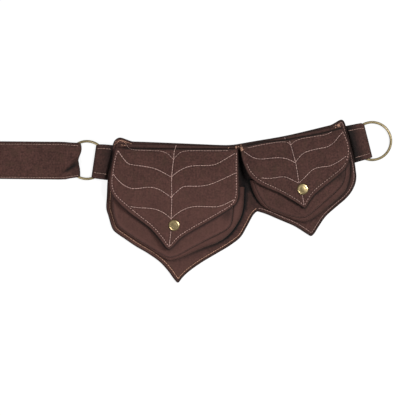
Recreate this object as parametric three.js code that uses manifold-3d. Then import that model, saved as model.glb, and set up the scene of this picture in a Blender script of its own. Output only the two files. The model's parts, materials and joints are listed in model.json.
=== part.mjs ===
// Pocket belt: a canvas hip belt with two leaf-shaped pouches, lying flat with its front up.
// Millimetres, +X along the belt to the right, +Y towards its top edge, +Z up from the surface
// it lies on.

import * as THREE from "three";
import Module from "manifold-3d";
import { mergeVertices } from "three/addons/utils/BufferGeometryUtils.js";

const wasm = await Module();
wasm.setup();

// Cloth, wire and fit
const CANVAS = 1.2; // one layer of canvas
const PANEL_THICK = 3; // backing panel, two layers with a stiffener
const FLAP_THICK = 2.2; // quilted flap, two layers
const SEAT_GAP = 0.3; // clearance between pieces that touch
const RING_RADIUS = 24.8; // centre of the ring's wire
const RING_WIRE = 3.2; // diameter of the ring's wire
const RING_HEIGHT = CANVAS + SEAT_GAP + RING_WIRE / 2; // a ring lies on the lower layer of its loop
const LOOP_HEIGHT = 2 * RING_HEIGHT;
const TONGUE_THICK = 1.5; // end of a tab, pressed flat and sewn in under the panel's edge
const TONGUE_LENGTH = 12;
const SNAP_RADIUS = 7.5; // snap cap
const SNAP_DOME = 2.8; // height of the cap
const POST_RADIUS = 2.2;
const POST_PLAY = 0.4; // room round a snap's post in the cloth
const POST_HOLE = POST_RADIUS + POST_PLAY;
const STUD_RADIUS = 5.5;
const STUD_FLANGE = 1;
const STUD_DROP = 2 * SEAT_GAP; // the stud's flange hangs this far under the pouch front
const GUSSET_BOW = 1.2; // a gusset's wall bulges outwards this far halfway up
const FLAP_FLATNESS = 6; // the higher, the closer to its edges a flap stays flat
const TAB_BEND_END = 40; // angle at which a tab's end bend meets its tongue
const TAB_TOE = 1; // length of the last slope down to the tongue

// Faceting
const RING_STEPS = 48;
const WIRE_SIDES = 8;
const SNAP_STEPS = 20;
const OUTLINE_STEP = 6; // length of one straight side of the panel's outline
const FLAP_SPANS = 10; // strips across a flap
const MOUTH_SPANS = 12; // sides along a pouch's mouth
const LOOP_SPANS = 8; // strips across a tab or the strap
const LOOP_STEP = 8; // length of one side along a layer of a loop
const SLACK = 0.06; // each layer of a loop arches this much, as cloth is never dead flat
const BEND_STEPS = 6; // sides round the fold of a loop
const STATION_STEPS = 3; // sections from one station of a gusset to the next
const SECTION_STEPS = 2; // strips from one section of a flap to the next
const MERGE = 1e-4; // points closer than this are one point

// Places of the two leaf lobes (middle of each top seam) and of the two rings
const LOBES = {
  left: { x: -43.8, y: 84.2, turn: -2.2 },
  right: { x: 103, y: 94.6, turn: 11.3 },
};
const RINGS = {
  left: { x: -159.7, y: 63.2 },
  right: { x: 216.4, y: 88.3 },
};

// Panel outline, clockwise from the left end of the top edge, measured in its lobes.
// across runs right along a lobe's seam and down runs towards its point; a corner breaks the curve.
const PANEL_EDGE = [
  { lobe: "left", across: -80, down: 3, corner: true },
  { lobe: "left", across: -77.5, down: -2.5 },
  { lobe: "left", across: -73, down: -5 },
  { lobe: "left", across: -66.5, down: -3 },
  { lobe: "left", across: -57, down: -0.3, corner: true },
  { lobe: "left", across: 80, down: -1.3, corner: true },
  { lobe: "right", across: 59.6, down: -2, corner: true },
  { lobe: "right", across: 67, down: -4 },
  { lobe: "right", across: 75.5, down: -6.8 },
  { lobe: "right", across: 79, down: 2, corner: true },
  { lobe: "right", across: 81, down: 49.5 },
  { lobe: "right", across: 79.5, down: 70.5 },
  { lobe: "right", across: 74.5, down: 82 },
  { lobe: "right", across: 63.5, down: 93 },
  { lobe: "right", across: 30, down: 113 },
  { lobe: "right", across: 18, down: 124.5 },
  { lobe: "right", across: 7, down: 135.3, corner: true },
  { lobe: "right", across: -11.5, down: 118 },
  { lobe: "right", across: -45.5, down: 93.5 },
  { lobe: "right", across: -56.5, down: 88.4, corner: true },
  { lobe: "left", across: 98, down: 105 },
  { lobe: "left", across: 90.5, down: 118.5 },
  { lobe: "left", across: 78, down: 129.5 },
  { lobe: "left", across: 40, down: 154.5 },
  { lobe: "left", across: 22.5, down: 168 },
  { lobe: "left", across: 11, down: 182.4, corner: true },
  { lobe: "left", across: -8, down: 160 },
  { lobe: "left", across: -38, down: 140 },
  { lobe: "left", across: -67.5, down: 123 },
  { lobe: "left", across: -76.5, down: 115 },
  { lobe: "left", across: -83, down: 97 },
  { lobe: "left", across: -86, down: 88 },
  { lobe: "left", across: -85.6, down: 50 },
];

// Pouches. A station is one section of the gusset, from the mouth's left end round the point to its
// right end: where it stands on the panel and where its upper edge meets the front.
const POUCHES = {
  left: {
    rim: 13.5,
    middle: { across: 2, down: 100 },
    snap: { across: 3.6, down: 106.7, lid: 16.8 },
    stations: [
      { baseAcross: -82.7, baseDown: 56, rimAcross: -79.3, rimDown: 57 },
      { baseAcross: -82.5, baseDown: 77, rimAcross: -78.6, rimDown: 79 },
      { baseAcross: -81.4, baseDown: 93, rimAcross: -76.8, rimDown: 93 },
      { baseAcross: -75.5, baseDown: 109, rimAcross: -71.5, rimDown: 107.5 },
      { baseAcross: -66.5, baseDown: 117.2, rimAcross: -64, rimDown: 114.5 },
      { baseAcross: -41, baseDown: 132.5, rimAcross: -39, rimDown: 129.5 },
      { baseAcross: -16.5, baseDown: 147, rimAcross: -15.5, rimDown: 143.2 },
      { baseAcross: -1.5, baseDown: 153.5, rimAcross: -0.8, rimDown: 149.6 },
      { baseAcross: 19, baseDown: 147, rimAcross: 16, rimDown: 142.6 },
      { baseAcross: 45, baseDown: 134.5, rimAcross: 41, rimDown: 128.2 },
      { baseAcross: 67, baseDown: 124, rimAcross: 63, rimDown: 116 },
      { baseAcross: 81, baseDown: 110, rimAcross: 75, rimDown: 108 },
      { baseAcross: 89.7, baseDown: 92.5, rimAcross: 79.8, rimDown: 93 },
      { baseAcross: 92, baseDown: 67.5, rimAcross: 80.2, rimDown: 73 },
      { baseAcross: 92.1, baseDown: 53, rimAcross: 79.6, rimDown: 55 },
    ],
    // Flap sections from the seam to the tip: both edges, and the height of the underside
    flap: [
      { down: 0, left: -77, right: 82, middle: 3.3, edge: 3.3 },
      { down: 5, left: -79, right: 82.5, middle: 3.3, edge: 3.3 },
      { down: 8.5, left: -79.5, right: 83.5, middle: 6.8, edge: 6 },
      { down: 28, left: -82.3, right: 85, middle: 11.5, edge: 10 },
      { down: 48, left: -83.8, right: 86, middle: 16, edge: 14.8 },
      { down: 60, left: -83.2, right: 86, middle: 16.8, edge: 15.8 },
      { down: 69, left: -79.6, right: 84.5, middle: 16.8, edge: 16.2 },
      { down: 77, left: -74, right: 79, middle: 16.8, edge: 16.5 },
      { down: 90, left: -60, right: 61, middle: 16.8, edge: 16.6 },
      { down: 103, left: -42, right: 41, middle: 16.8, edge: 16.6 },
      { down: 113, left: -28.5, right: 25.5, middle: 16.8, edge: 16.6 },
      { down: 128, left: -14.5, right: 8, middle: 16.7, edge: 16.6 },
      { down: 139, left: -3, right: -0.5, middle: 16.5, edge: 16.5 },
    ],
  },
  right: {
    rim: 12.3,
    middle: { across: 8, down: 76 },
    snap: { across: 8, down: 72.7, lid: 15.6 },
    stations: [
      { baseAcross: -58.8, baseDown: 47, rimAcross: -54, rimDown: 49 },
      { baseAcross: -57.6, baseDown: 59.5, rimAcross: -52.6, rimDown: 61 },
      { baseAcross: -55, baseDown: 70.5, rimAcross: -49.8, rimDown: 72 },
      { baseAcross: -49, baseDown: 83.5, rimAcross: -44.5, rimDown: 83 },
      { baseAcross: -38, baseDown: 95.7, rimAcross: -36, rimDown: 92 },
      { baseAcross: -19, baseDown: 108.5, rimAcross: -17, rimDown: 103.5 },
      { baseAcross: -2, baseDown: 114.5, rimAcross: -1.5, rimDown: 109.6 },
      { baseAcross: 7, baseDown: 114.6, rimAcross: 6.5, rimDown: 110.2 },
      { baseAcross: 26, baseDown: 107, rimAcross: 22, rimDown: 104 },
      { baseAcross: 47, baseDown: 95.8, rimAcross: 41.5, rimDown: 93.2 },
      { baseAcross: 62.5, baseDown: 84.8, rimAcross: 56.5, rimDown: 82.5 },
      { baseAcross: 69, baseDown: 72.5, rimAcross: 63.5, rimDown: 74 },
      { baseAcross: 72.8, baseDown: 59, rimAcross: 67, rimDown: 61 },
      { baseAcross: 74, baseDown: 47, rimAcross: 68, rimDown: 49 },
    ],
    flap: [
      { down: 0, left: -61.5, right: 74, middle: 3.3, edge: 3.3 },
      { down: 3.5, left: -62, right: 75, middle: 3.3, edge: 3.3 },
      { down: 7, left: -62.3, right: 76, middle: 6.2, edge: 5.6 },
      { down: 24, left: -61.3, right: 79, middle: 10.5, edge: 9.2 },
      { down: 40, left: -57, right: 77.5, middle: 14.6, edge: 13.4 },
      { down: 47.5, left: -52.6, right: 74.2, middle: 15.5, edge: 14.7 },
      { down: 55, left: -46, right: 69, middle: 15.6, edge: 15.1 },
      { down: 62.5, left: -36.5, right: 59, middle: 15.6, edge: 15.4 },
      { down: 73, left: -22.5, right: 39, middle: 15.6, edge: 15.4 },
      { down: 81, left: -13.4, right: 24.3, middle: 15.6, edge: 15.4 },
      { down: 89, left: -4.2, right: 13.6, middle: 15.5, edge: 15.4 },
      { down: 98, left: 3.6, right: 5.8, middle: 15.3, edge: 15.3 },
    ],
  },
};

// Turned outline of a snap cap, from its rim to its top: shares of its radius and of its height
const SNAP_PROFILE = [
  { radius: 1, height: 0 },
  { radius: 1, height: 0.35 },
  { radius: 0.88, height: 0.5 },
  { radius: 0.8, height: 0.42 },
  { radius: 0.64, height: 0.78 },
  { radius: 0.35, height: 0.96 },
  { radius: 0, height: 1 },
];

// Rings of a pouch front, from the rim inwards: share of the outline's size, heights above the rim
const FRONT_RINGS = [
  { share: 1, under: 0, over: 1.4 },
  { share: 0.965, under: 0.1, over: 2 },
  { share: 0.925, under: 0, over: 1.4 },
  { share: 0.62, under: 0.9, over: 2.3 },
  { share: 0.25, under: 1.3, over: 2.7 },
];

// Loops folded round a ring. along runs from the ring's centre; left and right are the half widths
// there.
const LOOPS = {
  strap: {
    ring: "left",
    turn: 180,
    fold: 8.6,
    tail: 124,
    tailThick: 2 * CANVAS,
    slope: 20,
    tuck: { depth: 3, across: 1, reach: 9, fade: 14 },
    pleat: { along: 13, across: 4.5, endAlong: 31, endAcross: 15.5, rise: 1.4, spread: 3 },
    widths: [
      { along: 8.6, left: 20.7, right: 20.7 },
      { along: 13, left: 21.2, right: 22.2 },
      { along: 22, left: 22.8, right: 22.6 },
      { along: 28, left: 24.8, right: 23 },
      { along: 36, left: 25.4, right: 23.5 },
      { along: 124, left: 24.2, right: 24 },
    ],
  },
  left_tab: {
    ring: "left",
    turn: -8.4,
    fold: 9.1,
    tail: 31.6 + TONGUE_LENGTH,
    tailThick: TONGUE_THICK,
    slope: 0,
    widths: [
      { along: 9.1, left: 20.5, right: 20.5 },
      { along: 13, left: 21.8, right: 21.8 },
      { along: 31, left: 23, right: 23 },
      { along: 46, left: 23, right: 23 },
    ],
  },
  right_tab: {
    ring: "right",
    turn: 194.2,
    fold: 5.6,
    tail: 29.8 + TONGUE_LENGTH,
    tailThick: TONGUE_THICK,
    slope: 0,
    widths: [
      { along: 5.6, left: 21.3, right: 21.3 },
      { along: 10, left: 22, right: 22 },
      { along: 30, left: 23.4, right: 23.4 },
      { along: 45, left: 23.4, right: 23.4 },
    ],
  },
};

const COLOURS = {
  canvas: { color: 0x4c3630, roughness: 0.92, metalness: 0 },
  brass: { color: 0xb8a27a, roughness: 0.35, metalness: 0.9 },
  antique: { color: 0x8a7550, roughness: 0.4, metalness: 0.85 },
};

// Tables and curves

/** One column at a fractional row, eased so that it never overshoots the rows beside it. */
function columnAt(rows, column, at) {
  const last = rows.length - 1;
  const row = Math.min(Math.floor(at), last - 1);
  const value = (index) => rows[THREE.MathUtils.clamp(index, 0, last)][column];
  const slope = (index) => {
    const before = value(index) - value(index - 1);
    const after = value(index + 1) - value(index);
    return before * after > 0 ? (2 * before * after) / (before + after) : 0;
  };
  const t = at - row;
  const blend = t * t * (3 - 2 * t);
  const leave = t * (1 - t) ** 2;
  const arrive = t * t * (t - 1);
  const straight = THREE.MathUtils.lerp(value(row), value(row + 1), blend);
  return straight + leave * slope(row) + arrive * slope(row + 1);
}

/** Rows read again at even steps between the rows of a table. */
function refine(rows, perRow) {
  const count = (rows.length - 1) * perRow;
  return Array.from({ length: count + 1 }, (_, index) => {
    const row = {};
    for (const column of Object.keys(rows[0])) row[column] = columnAt(rows, column, index / perRow);
    return row;
  });
}

/** One column of a table whose first column, along, rises from row to row. */
function columnAlong(rows, column, along) {
  const next = rows.findIndex((row) => row.along >= along);
  if (next < 0) return rows.at(-1)[column];
  if (next === 0) return rows[0][column];
  const share = (along - rows[next - 1].along) / (rows[next].along - rows[next - 1].along);
  return columnAt(rows, column, next - 1 + share);
}

/** A point of a lobe in the belt's own plane. */
function lobePoint({ lobe, across, down }) {
  const { x, y, turn } = LOBES[lobe];
  const seat = new THREE.Vector2(x, y);
  const point = new THREE.Vector2(across, -down).add(seat);
  return point.rotateAround(seat, THREE.MathUtils.degToRad(turn));
}

// Solids

/** A geometry that keeps only its points, with shared ones merged. */
function bare(geometry) {
  geometry.deleteAttribute("normal");
  geometry.deleteAttribute("uv");
  return mergeVertices(geometry, MERGE);
}

function solid(geometry) {
  const merged = bare(geometry);
  return new wasm.Manifold(
    new wasm.Mesh({
      numProp: 3,
      vertProperties: new Float32Array(merged.attributes.position.array),
      triVerts: new Uint32Array(merged.index.array),
    }),
  );
}

function indexed(positions, triangles) {
  const geometry = new THREE.BufferGeometry();
  geometry.setAttribute("position", new THREE.BufferAttribute(new Float32Array(positions), 3));
  geometry.setIndex(Array.from(triangles));
  return geometry;
}

function cut(geometry, ...tools) {
  const result = tools.reduce((rest, tool) => rest.subtract(solid(tool)), solid(geometry));
  const mesh = result.getMesh();
  return indexed(mesh.vertProperties, mesh.triVerts);
}

function volumeOf(points, triangles) {
  let sum = 0;
  for (let i = 0; i < triangles.length; i += 3) {
    const [a, b, c] = [points[triangles[i]], points[triangles[i + 1]], points[triangles[i + 2]]];
    sum += a.dot(new THREE.Vector3().crossVectors(b, c)) / 6;
  }
  return sum;
}

/** A closed skin over loops of points, each with as many points as the next, with both ends closed. */
function loft(loops) {
  const around = loops[0].length;
  const points = loops.flat();
  const triangles = [];
  for (let loop = 0; loop < loops.length - 1; loop += 1) {
    for (let i = 0; i < around; i += 1) {
      const a = loop * around + i;
      const b = loop * around + ((i + 1) % around);
      triangles.push(a, b, b + around, a, b + around, a + around);
    }
  }
  for (const end of [0, loops.length - 1]) {
    const centre = new THREE.Vector3();
    for (const point of loops[end]) centre.addScaledVector(point, 1 / around);
    points.push(centre);
    for (let i = 0; i < around; i += 1) {
      const a = end * around + i;
      const b = end * around + ((i + 1) % around);
      triangles.push(points.length - 1, ...(end === 0 ? [b, a] : [a, b]));
    }
  }
  if (volumeOf(points, triangles) < 0) triangles.reverse();
  return indexed(points.flatMap((point) => point.toArray()), triangles);
}

function cylinder(radius, low, high, at) {
  const geometry = new THREE.CylinderGeometry(radius, radius, high - low, SNAP_STEPS);
  geometry.rotateX(Math.PI / 2);
  geometry.translate(at.across, -at.down, (low + high) / 2);
  return geometry;
}

/** A turned piece about a standing axis, from pairs of radius and height. */
function turned(profile, at) {
  const outline = profile.map(([radius, height]) => new THREE.Vector2(radius, height));
  const geometry = new THREE.LatheGeometry(outline, SNAP_STEPS);
  geometry.rotateX(Math.PI / 2);
  geometry.translate(at.across, -at.down, 0);
  return bare(geometry);
}

// Panel

function panelOutline() {
  const rows = [...PANEL_EDGE, PANEL_EDGE[0]];
  const points = [];
  let run = [lobePoint(rows[0])];
  for (const row of rows.slice(1)) {
    run.push(lobePoint(row));
    if (!row.corner) continue;
    const stops = run.map(({ x, y }) => new THREE.Vector3(x, y, 0));
    const curve = new THREE.CatmullRomCurve3(stops, false, "centripetal");
    const sides = Math.max(run.length - 1, Math.round(curve.getLength() / OUTLINE_STEP));
    points.push(...curve.getSpacedPoints(sides).slice(0, -1));
    run = [run.at(-1)];
  }
  return points.map(({ x, y }) => new THREE.Vector2(x, y));
}

/** Room under the panel's edge for the tongue of a tab. */
function tongueRoom(loop) {
  const half = loop.widths.at(-1).left + 2 * SEAT_GAP;
  const start = RING_RADIUS;
  const end = loop.tail + SEAT_GAP;
  const high = TONGUE_THICK + SEAT_GAP;
  const room = new THREE.BoxGeometry(end - start, 2 * half, 2 * high);
  room.translate((start + end) / 2, 0, 0);
  room.rotateZ(THREE.MathUtils.degToRad(loop.turn));
  room.translate(RINGS[loop.ring].x, RINGS[loop.ring].y, 0);
  return room;
}

function panel() {
  const outline = new THREE.Shape(panelOutline());
  const slab = new THREE.ExtrudeGeometry(outline, { depth: PANEL_THICK, bevelEnabled: false });
  return cut(slab, tongueRoom(LOOPS.left_tab), tongueRoom(LOOPS.right_tab));
}

// Pouches

/** The strip that stands on the panel round a pouch, open at the mouth. */
function gusset({ rim, stations }) {
  const low = PANEL_THICK + SEAT_GAP;
  const high = rim - SEAT_GAP;
  const rows = refine(stations, STATION_STEPS);
  const loops = rows.map((row, index) => {
    const before = rows[Math.max(index - 1, 0)];
    const after = rows[Math.min(index + 1, rows.length - 1)];
    const run = new THREE.Vector2(
      after.rimAcross - before.rimAcross,
      before.rimDown - after.rimDown,
    ).normalize();
    const inward = new THREE.Vector2(-run.y, run.x);
    const base = new THREE.Vector2(row.baseAcross, -row.baseDown);
    const top = new THREE.Vector2(row.rimAcross, -row.rimDown);
    const middle = base.clone().lerp(top, 0.5).addScaledVector(inward, -GUSSET_BOW);
    const lean = top.distanceTo(base) / (high - low);
    const wall = CANVAS * Math.hypot(1, lean);
    const outer = [[base, low], [middle, (low + high) / 2], [top, high]];
    const inner = outer.map(([point, z]) => [point.clone().addScaledVector(inward, wall), z]);
    return [...outer, ...inner.reverse()].map(([point, z]) => new THREE.Vector3(point.x, point.y, z));
  });
  return loft(loops);
}

function pouchFront({ rim, stations, middle, snap }) {
  const rows = refine(stations, STATION_STEPS);
  const edge = rows.map((row) => new THREE.Vector2(row.rimAcross, -row.rimDown));
  const [first, last] = [edge[0], edge.at(-1)];
  for (let i = 1; i < MOUTH_SPANS; i += 1) edge.push(last.clone().lerp(first, i / MOUTH_SPANS));
  const centre = new THREE.Vector2(middle.across, -middle.down);
  const loop = (share, lift) =>
    edge.map((point) => {
      const spot = centre.clone().lerp(point, share);
      return new THREE.Vector3(spot.x, spot.y, rim + lift);
    });
  const under = FRONT_RINGS.map((ring) => loop(ring.share, ring.under)).reverse();
  const over = FRONT_RINGS.map((ring) => loop(ring.share, ring.over));
  return cut(loft([...under, ...over]), cylinder(POST_HOLE, rim, rim + 2 * SNAP_DOME, snap));
}

/** A quilted leaf, sewn flat along the seam, rising in a step and lying over the pouch. */
function flap({ flap: sections, snap }) {
  const loops = refine(sections, SECTION_STEPS).map(({ down, left, right, middle, edge }) => {
    const side = (lift) =>
      Array.from({ length: FLAP_SPANS + 1 }, (_, index) => {
        const share = index / FLAP_SPANS;
        const arch = 1 - Math.abs(2 * share - 1) ** FLAP_FLATNESS;
        const across = THREE.MathUtils.lerp(left, right, share);
        return new THREE.Vector3(across, -down, THREE.MathUtils.lerp(edge, middle, arch) + lift);
      });
    return [...side(0), ...side(FLAP_THICK).reverse()];
  });
  const top = snap.lid + FLAP_THICK;
  return cut(loft(loops), cylinder(POST_HOLE, snap.lid - SNAP_DOME, top + SNAP_DOME, snap));
}

// Snaps

function snapCap({ snap }) {
  const seat = snap.lid + FLAP_THICK + SEAT_GAP;
  const post = [
    [0, snap.lid],
    [POST_RADIUS, snap.lid],
    [POST_RADIUS, seat],
  ];
  const dome = SNAP_PROFILE.map(({ radius, height }) => [
    radius * SNAP_RADIUS,
    seat + height * SNAP_DOME,
  ]);
  return turned([...post, ...dome], snap);
}

function snapStud({ rim, snap }) {
  const seat = rim + FRONT_RINGS.at(-1).under - STUD_DROP;
  const head = snap.lid - SEAT_GAP;
  return turned(
    [
      [0, seat - STUD_FLANGE],
      [STUD_RADIUS, seat - STUD_FLANGE],
      [STUD_RADIUS, seat],
      [POST_RADIUS, seat],
      [POST_RADIUS, head],
      [0, head],
    ],
    snap,
  );
}

// Rings, tabs and strap

function ring() {
  const geometry = new THREE.TorusGeometry(RING_RADIUS, RING_WIRE / 2, WIRE_SIDES, RING_STEPS);
  geometry.translate(0, 0, RING_HEIGHT);
  return bare(geometry);
}

/** Side view of a loop: the doubled tail, the two layers round the wire and the fold. */
function loopProfile({ fold, tail, tailThick, slope }) {
  const radius = LOOP_HEIGHT / 2;
  const hollow = radius - CANVAS;
  const reach = RING_RADIUS;
  const bend = fold + radius;
  const outer = [];
  const inner = [];
  const arc = (list, centre, size, from, to) => {
    for (let i = 0; i <= BEND_STEPS; i += 1) {
      const angle = THREE.MathUtils.degToRad(THREE.MathUtils.lerp(from, to, i / BEND_STEPS));
      list.push(new THREE.Vector2(centre + size * Math.cos(angle), radius + size * Math.sin(angle)));
    }
  };
  const layer = (list, from, to, height) => {
    const sides = Math.max(2, Math.round(Math.abs(to - from) / LOOP_STEP));
    for (let i = 1; i < sides; i += 1) {
      const along = THREE.MathUtils.lerp(from, to, i / sides);
      list.push(new THREE.Vector2(along, height(along) + SLACK * Math.sin((Math.PI * i) / sides)));
    }
  };
  const fall = (along) => {
    const share = THREE.MathUtils.smoothstep(along, reach, reach + slope);
    return THREE.MathUtils.lerp(LOOP_HEIGHT, tailThick, share);
  };
  outer.push(new THREE.Vector2(tail, 0));
  layer(outer, tail, bend, () => 0);
  arc(outer, bend, radius, 270, 90);
  layer(outer, bend, RING_RADIUS, () => LOOP_HEIGHT);
  arc(inner, bend, hollow, 270, 90);
  layer(inner, bend, RING_RADIUS, () => LOOP_HEIGHT - CANVAS);
  if (slope > 0) {
    const end = reach + slope;
    outer.push(new THREE.Vector2(reach, LOOP_HEIGHT));
    layer(outer, reach, end, fall);
    outer.push(new THREE.Vector2(end, tailThick));
    layer(outer, end, tail, () => tailThick);
    inner.push(new THREE.Vector2(reach, LOOP_HEIGHT - CANVAS));
    layer(inner, reach, end, (along) => fall(along) - CANVAS);
    inner.push(new THREE.Vector2(end - LOOP_STEP / 4, CANVAS));
    layer(inner, end - LOOP_STEP / 4, bend, () => CANVAS);
  } else {
    arc(outer, RING_RADIUS, radius, 90, TAB_BEND_END);
    outer.push(new THREE.Vector2(RING_RADIUS + radius + TAB_TOE, tailThick));
    arc(inner, RING_RADIUS, hollow, 90, -90);
    layer(inner, RING_RADIUS, bend, () => CANVAS);
  }
  outer.push(new THREE.Vector2(tail, tailThick));
  const shape = new THREE.Shape(outer);
  shape.holes.push(new THREE.Path(inner.reverse()));
  return shape;
}

/** How far the cloth beside a slanting pleat stands up. */
function pleatRise({ along, across, endAlong, endAcross, rise, spread }, place) {
  const start = new THREE.Vector2(along, across);
  const end = new THREE.Vector2(endAlong, endAcross);
  const line = end.clone().sub(start);
  const share = place.clone().sub(start).dot(line) / line.lengthSq();
  const nearest = start.clone().lerp(end, THREE.MathUtils.clamp(share, 0, 1));
  return rise * Math.exp(-((place.distanceTo(nearest) / spread) ** 2));
}

function ringLoop(loop) {
  const { turn, widths, tuck, pleat, fold } = loop;
  const strip = { depth: 2, steps: LOOP_SPANS, bevelEnabled: false };
  const geometry = bare(new THREE.ExtrudeGeometry(loopProfile(loop), strip));
  const position = geometry.attributes.position;
  for (let i = 0; i < position.count; i += 1) {
    const side = 1 - position.getZ(i);
    let along = position.getX(i);
    let height = position.getY(i);
    const half = columnAlong(widths, side < 0 ? "right" : "left", along);
    const across = side * half;
    if (pleat && height > RING_HEIGHT) height += pleatRise(pleat, new THREE.Vector2(along, across));
    if (tuck) {
      const fade = Math.max(0, 1 - (along - fold) / tuck.fade);
      along += tuck.depth * fade * Math.exp(-(((across - tuck.across) / tuck.reach) ** 2));
    }
    position.setXYZ(i, along, across, height);
  }
  geometry.rotateZ(THREE.MathUtils.degToRad(turn));
  return geometry;
}

// Assembly

const group = new THREE.Group();

function place(parent, name, geometry, colour) {
  geometry.computeVertexNormals();
  const mesh = new THREE.Mesh(geometry, new THREE.MeshStandardMaterial(COLOURS[colour]));
  mesh.name = name;
  parent.add(mesh);
}

place(group, "panel", panel(), "canvas");

for (const [side, { x, y, turn }] of Object.entries(LOBES)) {
  const lobe = new THREE.Group();
  lobe.position.set(x, y, 0);
  lobe.rotation.z = THREE.MathUtils.degToRad(turn);
  const pouch = POUCHES[side];
  place(lobe, `${side}_gusset`, gusset(pouch), "canvas");
  place(lobe, `${side}_pocket_front`, pouchFront(pouch), "canvas");
  place(lobe, `${side}_flap`, flap(pouch), "canvas");
  place(lobe, `${side}_snap_cap`, snapCap(pouch), "antique");
  place(lobe, `${side}_snap_stud`, snapStud(pouch), "antique");
  group.add(lobe);
}

for (const [side, { x, y }] of Object.entries(RINGS)) {
  const end = new THREE.Group();
  end.position.set(x, y, 0);
  place(end, `${side}_ring`, ring(), "brass");
  for (const [name, loop] of Object.entries(LOOPS)) {
    if (loop.ring === side) place(end, name, ringLoop(loop), "canvas");
  }
  group.add(end);
}

// The origin is the middle of the belt's box, on the surface it lies on
const box = new THREE.Box3().setFromObject(group);
const middle = box.getCenter(new THREE.Vector3());
group.position.set(-middle.x, -middle.y, -box.min.z);

export default group;
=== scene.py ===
"""Canvas pocket belt with two leaf pouches, sewn up around the belt's frame."""

import json
import math

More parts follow.
